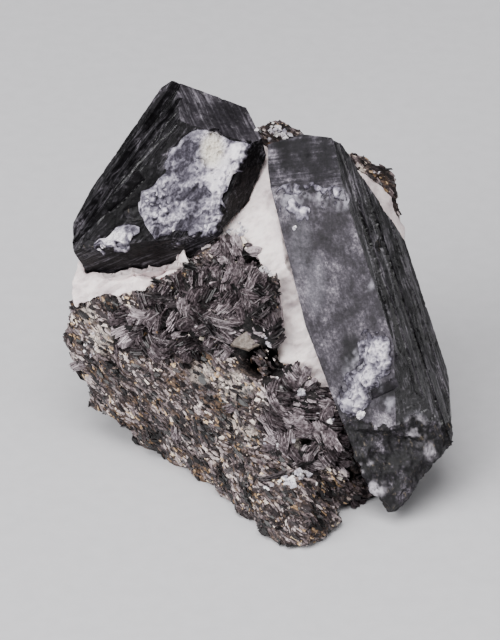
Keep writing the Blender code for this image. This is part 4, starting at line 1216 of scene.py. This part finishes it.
def make_grains(rocks):
    """The grains and mica flakes of the rock, on all its sides but the one it rests on."""
    found = [surface_points(rock, count, seed) for rock, count, seed in rocks]
    where = (np.concatenate([part[0] for part in found]),
             np.concatenate([part[1] for part in found]))
    where = keep(where, where[0][:, 2] > 0.5 * MM)
    where = keep(where, hollow_share(as_seen(where[0]), where[1]) < 0.1)
    places = as_seen(where[0])
    fine = mica_share(places, where[1]) < 0.5
    seen_side = towards_eye(where[1], -0.2)
    dice = np.random.default_rng(77).random(len(fine))
    drawn_out = stretched(places, GRAIN_WAY, 0.55)
    patchy, cloudy = ripple(drawn_out, 2.6, 5.0), ripple(drawn_out, 2.0, 15.0)
    toe = near(places, TOE_SPOTS) * seen_side
    pale = 0.5 + 0.9 * patchy - 0.15 * toe
    no_books = (near(places, BARE_SPOTS) > 0) | (places[:, 1] > BOOKS_TOP)
    ochre = 0.05 + 0.2 * smooth_step(cloudy, 0.0, 0.5) + 0.25 * near(
        places, OCHRE_SPOTS) * seen_side
    cream = (0.05 + 0.14 * smooth_step(patchy, 0.1, 0.5)) * (1 - 0.8 * toe) + 0.5 * near(
        places, CREAM_SPOTS) * seen_side
    dark = 0.27 + 0.25 * smooth_step(-patchy, 0.0, 0.4)
    light = near(places, LIGHT_SPOTS) * seen_side
    plates = [plate_shape(sides, seed) for sides, seed in ((6, 1), (5, 2), (5, 3), (6, 4))]
    chips = [chip_shape(seed) for seed in range(8)]
    books = [book_shape(leaves, seed) for leaves, seed in ((5, 1), (6, 2), (4, 3), (7, 4))]
    bronze = [(0.0, "#0e0c0d"), (0.35, "#272123"), (0.7, "#62575b"), (1.0, "#a89da1")]
    flat = lie_flat(0.4)
    # Each kind: its shapes and places, its shortest and longest in mm, how wide and how thick
    # it is to its length, how deep it sinks, how it lies, its tones, roughness and IOR.
    kinds = [
        ("tan_grains", chips, fine & (dice < ochre), (0.3, 1.3), (0.25, 0.6), (0.2, 0.4), 0.1,
         flat, pale, [(0.0, "#463529"), (0.4, "#80674f"), (0.75, "#bc9f7a"), (1.0, "#e2d0b4")],
         0.5, FELDSPAR_IOR),
        ("pale_grains", chips, fine & (dice > 1 - cream), (0.3, 1.3), (0.25, 0.6), (0.2, 0.4),
         0.1, flat, pale, [(0.0, "#6c605c"), (0.5, "#b2a298"), (1.0, "#eaded4")], 0.5,
         FELDSPAR_IOR),
        ("dark_flakes", plates, fine & (dice > ochre) & (dice < ochre + dark), (0.5, 2.0),
         (0.25, 0.55), (0.10, 0.22), -0.1, flat, pale,
         [(0.0, "#070606"), (0.5, "#191516"), (1.0, "#3e3738")], 0.28, MICA_IOR),
        ("grey_flakes", plates, fine & (dice > ochre + dark) & (dice < 1 - cream), (0.4, 1.7),
         (0.2, 0.45), (0.12, 0.25), 0.0, flat, pale,
         [(0.0, "#241f20"), (0.4, "#524749"), (0.7, "#857777"), (1.0, "#bcafad")], 0.34,
         MICA_IOR),
        ("mica_books", books, ~fine & (dice < 0.19) & ~no_books, (1.3, 4.0), (0.45, 0.8),
         (0.24, 0.5), -0.1, in_fans(0.14), 0.55 + 0.45 * patchy + 0.3 * light, bronze, 0.28,
         MICA_IOR),
        ("mica_flakes", plates, ~fine & (dice > 0.4) & (dice < 0.7), (0.5, 1.8), (0.4, 0.8),
         (0.08, 0.2), 0.0, in_fans(0.5), 0.6 + 0.5 * patchy + 0.3 * light, bronze, 0.28,
         MICA_IOR),
        ("mica_specks", chips, ~fine & (dice > 0.96), (0.3, 0.9), (0.5, 0.8), (0.3, 0.5), -0.2,
         flat, pale, [(0.0, "#4c3a29"), (0.5, "#95866f"), (1.0, "#cfc6bc")], 0.5,
         FELDSPAR_IOR),
    ]
    made = []
    for number, (name, shapes, chosen, sizes, slim, thin, sink, lie, tone, tones, rough,
                 ior) in enumerate(kinds):
        piece = scatter(name, shapes, keep(where, chosen), sizes, slim, thin, sink,
                        50 + number, lie, tone[chosen])
        piece.data.materials.append(mineral_grains(name, tones, rough, ior))
        made.append(piece)
    return made


# The stage

def make_floor():
    """A plain pale floor, a large square sheet with a matt finish."""
    bpy.ops.object.select_all(action="DESELECT")
    bpy.ops.mesh.primitive_plane_add(size=3.0, location=(0, 0.6, 0))
    floor = bpy.context.object
    floor.name = "floor"
    made, tree, place = new_material("floor_paper")
    tooth = node(tree, "TexNoise", place, Scale=per_mm(3.0), Detail=3.0)
    floor.data.materials.append(finished(made, Roughness=0.6, Base_Color=node(
        tree, "ValToRGB", tooth, stops=[(0.3, "#c9c8cb"), (0.7, "#cecdd0")])))


def soft_light(name, place, size, power):
    """A square soft box in metres, turned to the middle of the specimen."""
    light = bpy.data.lights.new(name, "AREA")
    light.shape = "SQUARE"
    light.size = size
    light.energy = power
    lamp = bpy.data.objects.new(name, light)
    lamp.location = place
    aim = Vector(LIGHT_AIM) - Vector(place)
    lamp.rotation_euler = aim.to_track_quat("-Z", "Y").to_euler()
    bpy.context.scene.collection.objects.link(lamp)


def make_stage():
    """The floor, the soft boxes, the faint light all round, and the camera."""
    make_floor()
    for name, box in SOFT_BOXES.items():
        soft_light(name, *box)
    world = bpy.data.worlds.new("studio")
    world.use_nodes = True
    world.node_tree.nodes["Background"].inputs["Color"].default_value = tint("#b9b9bd")
    world.node_tree.nodes["Background"].inputs["Strength"].default_value = 0.22
    bpy.context.scene.world = world
    camera = bpy.data.cameras.new("camera")
    camera.sensor_width = SENSOR
    camera.lens = SENSOR * CAMERA_DISTANCE / (PICTURE_HEIGHT / PIXELS_PER_MM)
    camera.clip_start = 0.01
    camera.clip_end = 20
    eye = bpy.data.objects.new("camera", camera)
    eye.location = seen(AIM[0], AIM[1], AIM[2] - CAMERA_DISTANCE)
    eye.rotation_euler = way(0, 0, 1).to_track_quat("-Z", "Y").to_euler()
    bpy.context.scene.collection.objects.link(eye)
    bpy.context.scene.camera = eye


right, left, looks = make_crystals()
rock_material, white = rock_body(), crust_mineral()
rock = make_rock("rock_mass", "mica_rock", rock_material)
back_rock = make_rock("back_rock_mass", "back_mica_rock", rock_material)
pieces = [right, left, make_calcite(), rock, back_rock]
surface = joined_tree(pieces)
pieces += [
    make_crust("left_crust_lumps", "left_crust", "left_crystal", LEFT_FACES, "face",
               (white, looks["face"]), DENSE_SPOTS, BALL_SPOTS, THIN_SPOTS, 0.42, 1.3, 2.0),
    make_crust("left_patch_lumps", "left_patch", "left_crystal", LEFT_FACES, "face",
               (white, looks["face"]), PATCH_DENSE_SPOTS, [], [], 0.4, 1.1, 4.0),
    make_crust("right_upper_lumps", "right_upper_crust", "right_crystal", RIGHT_FACES, "brow",
               (white, looks["frosted"]), UPPER_DENSE_SPOTS, [], [], 0.2, 0.45, 6.0),
    make_crust("right_lower_lumps", "right_lower_crust", "right_crystal", RIGHT_FACES, "front",
               (white, looks["frosted"]), LOWER_DENSE_SPOTS, [], [], 0.09, 1.2, 8.0),
    make_white_grains(surface), make_flake(surface), make_large_books(surface),
    *make_grains([(rock, ROCK_GRAINS, 5), (back_rock, BACK_GRAINS, 6)]),
]
make_stage()
for piece in pieces:
    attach(piece, "root")
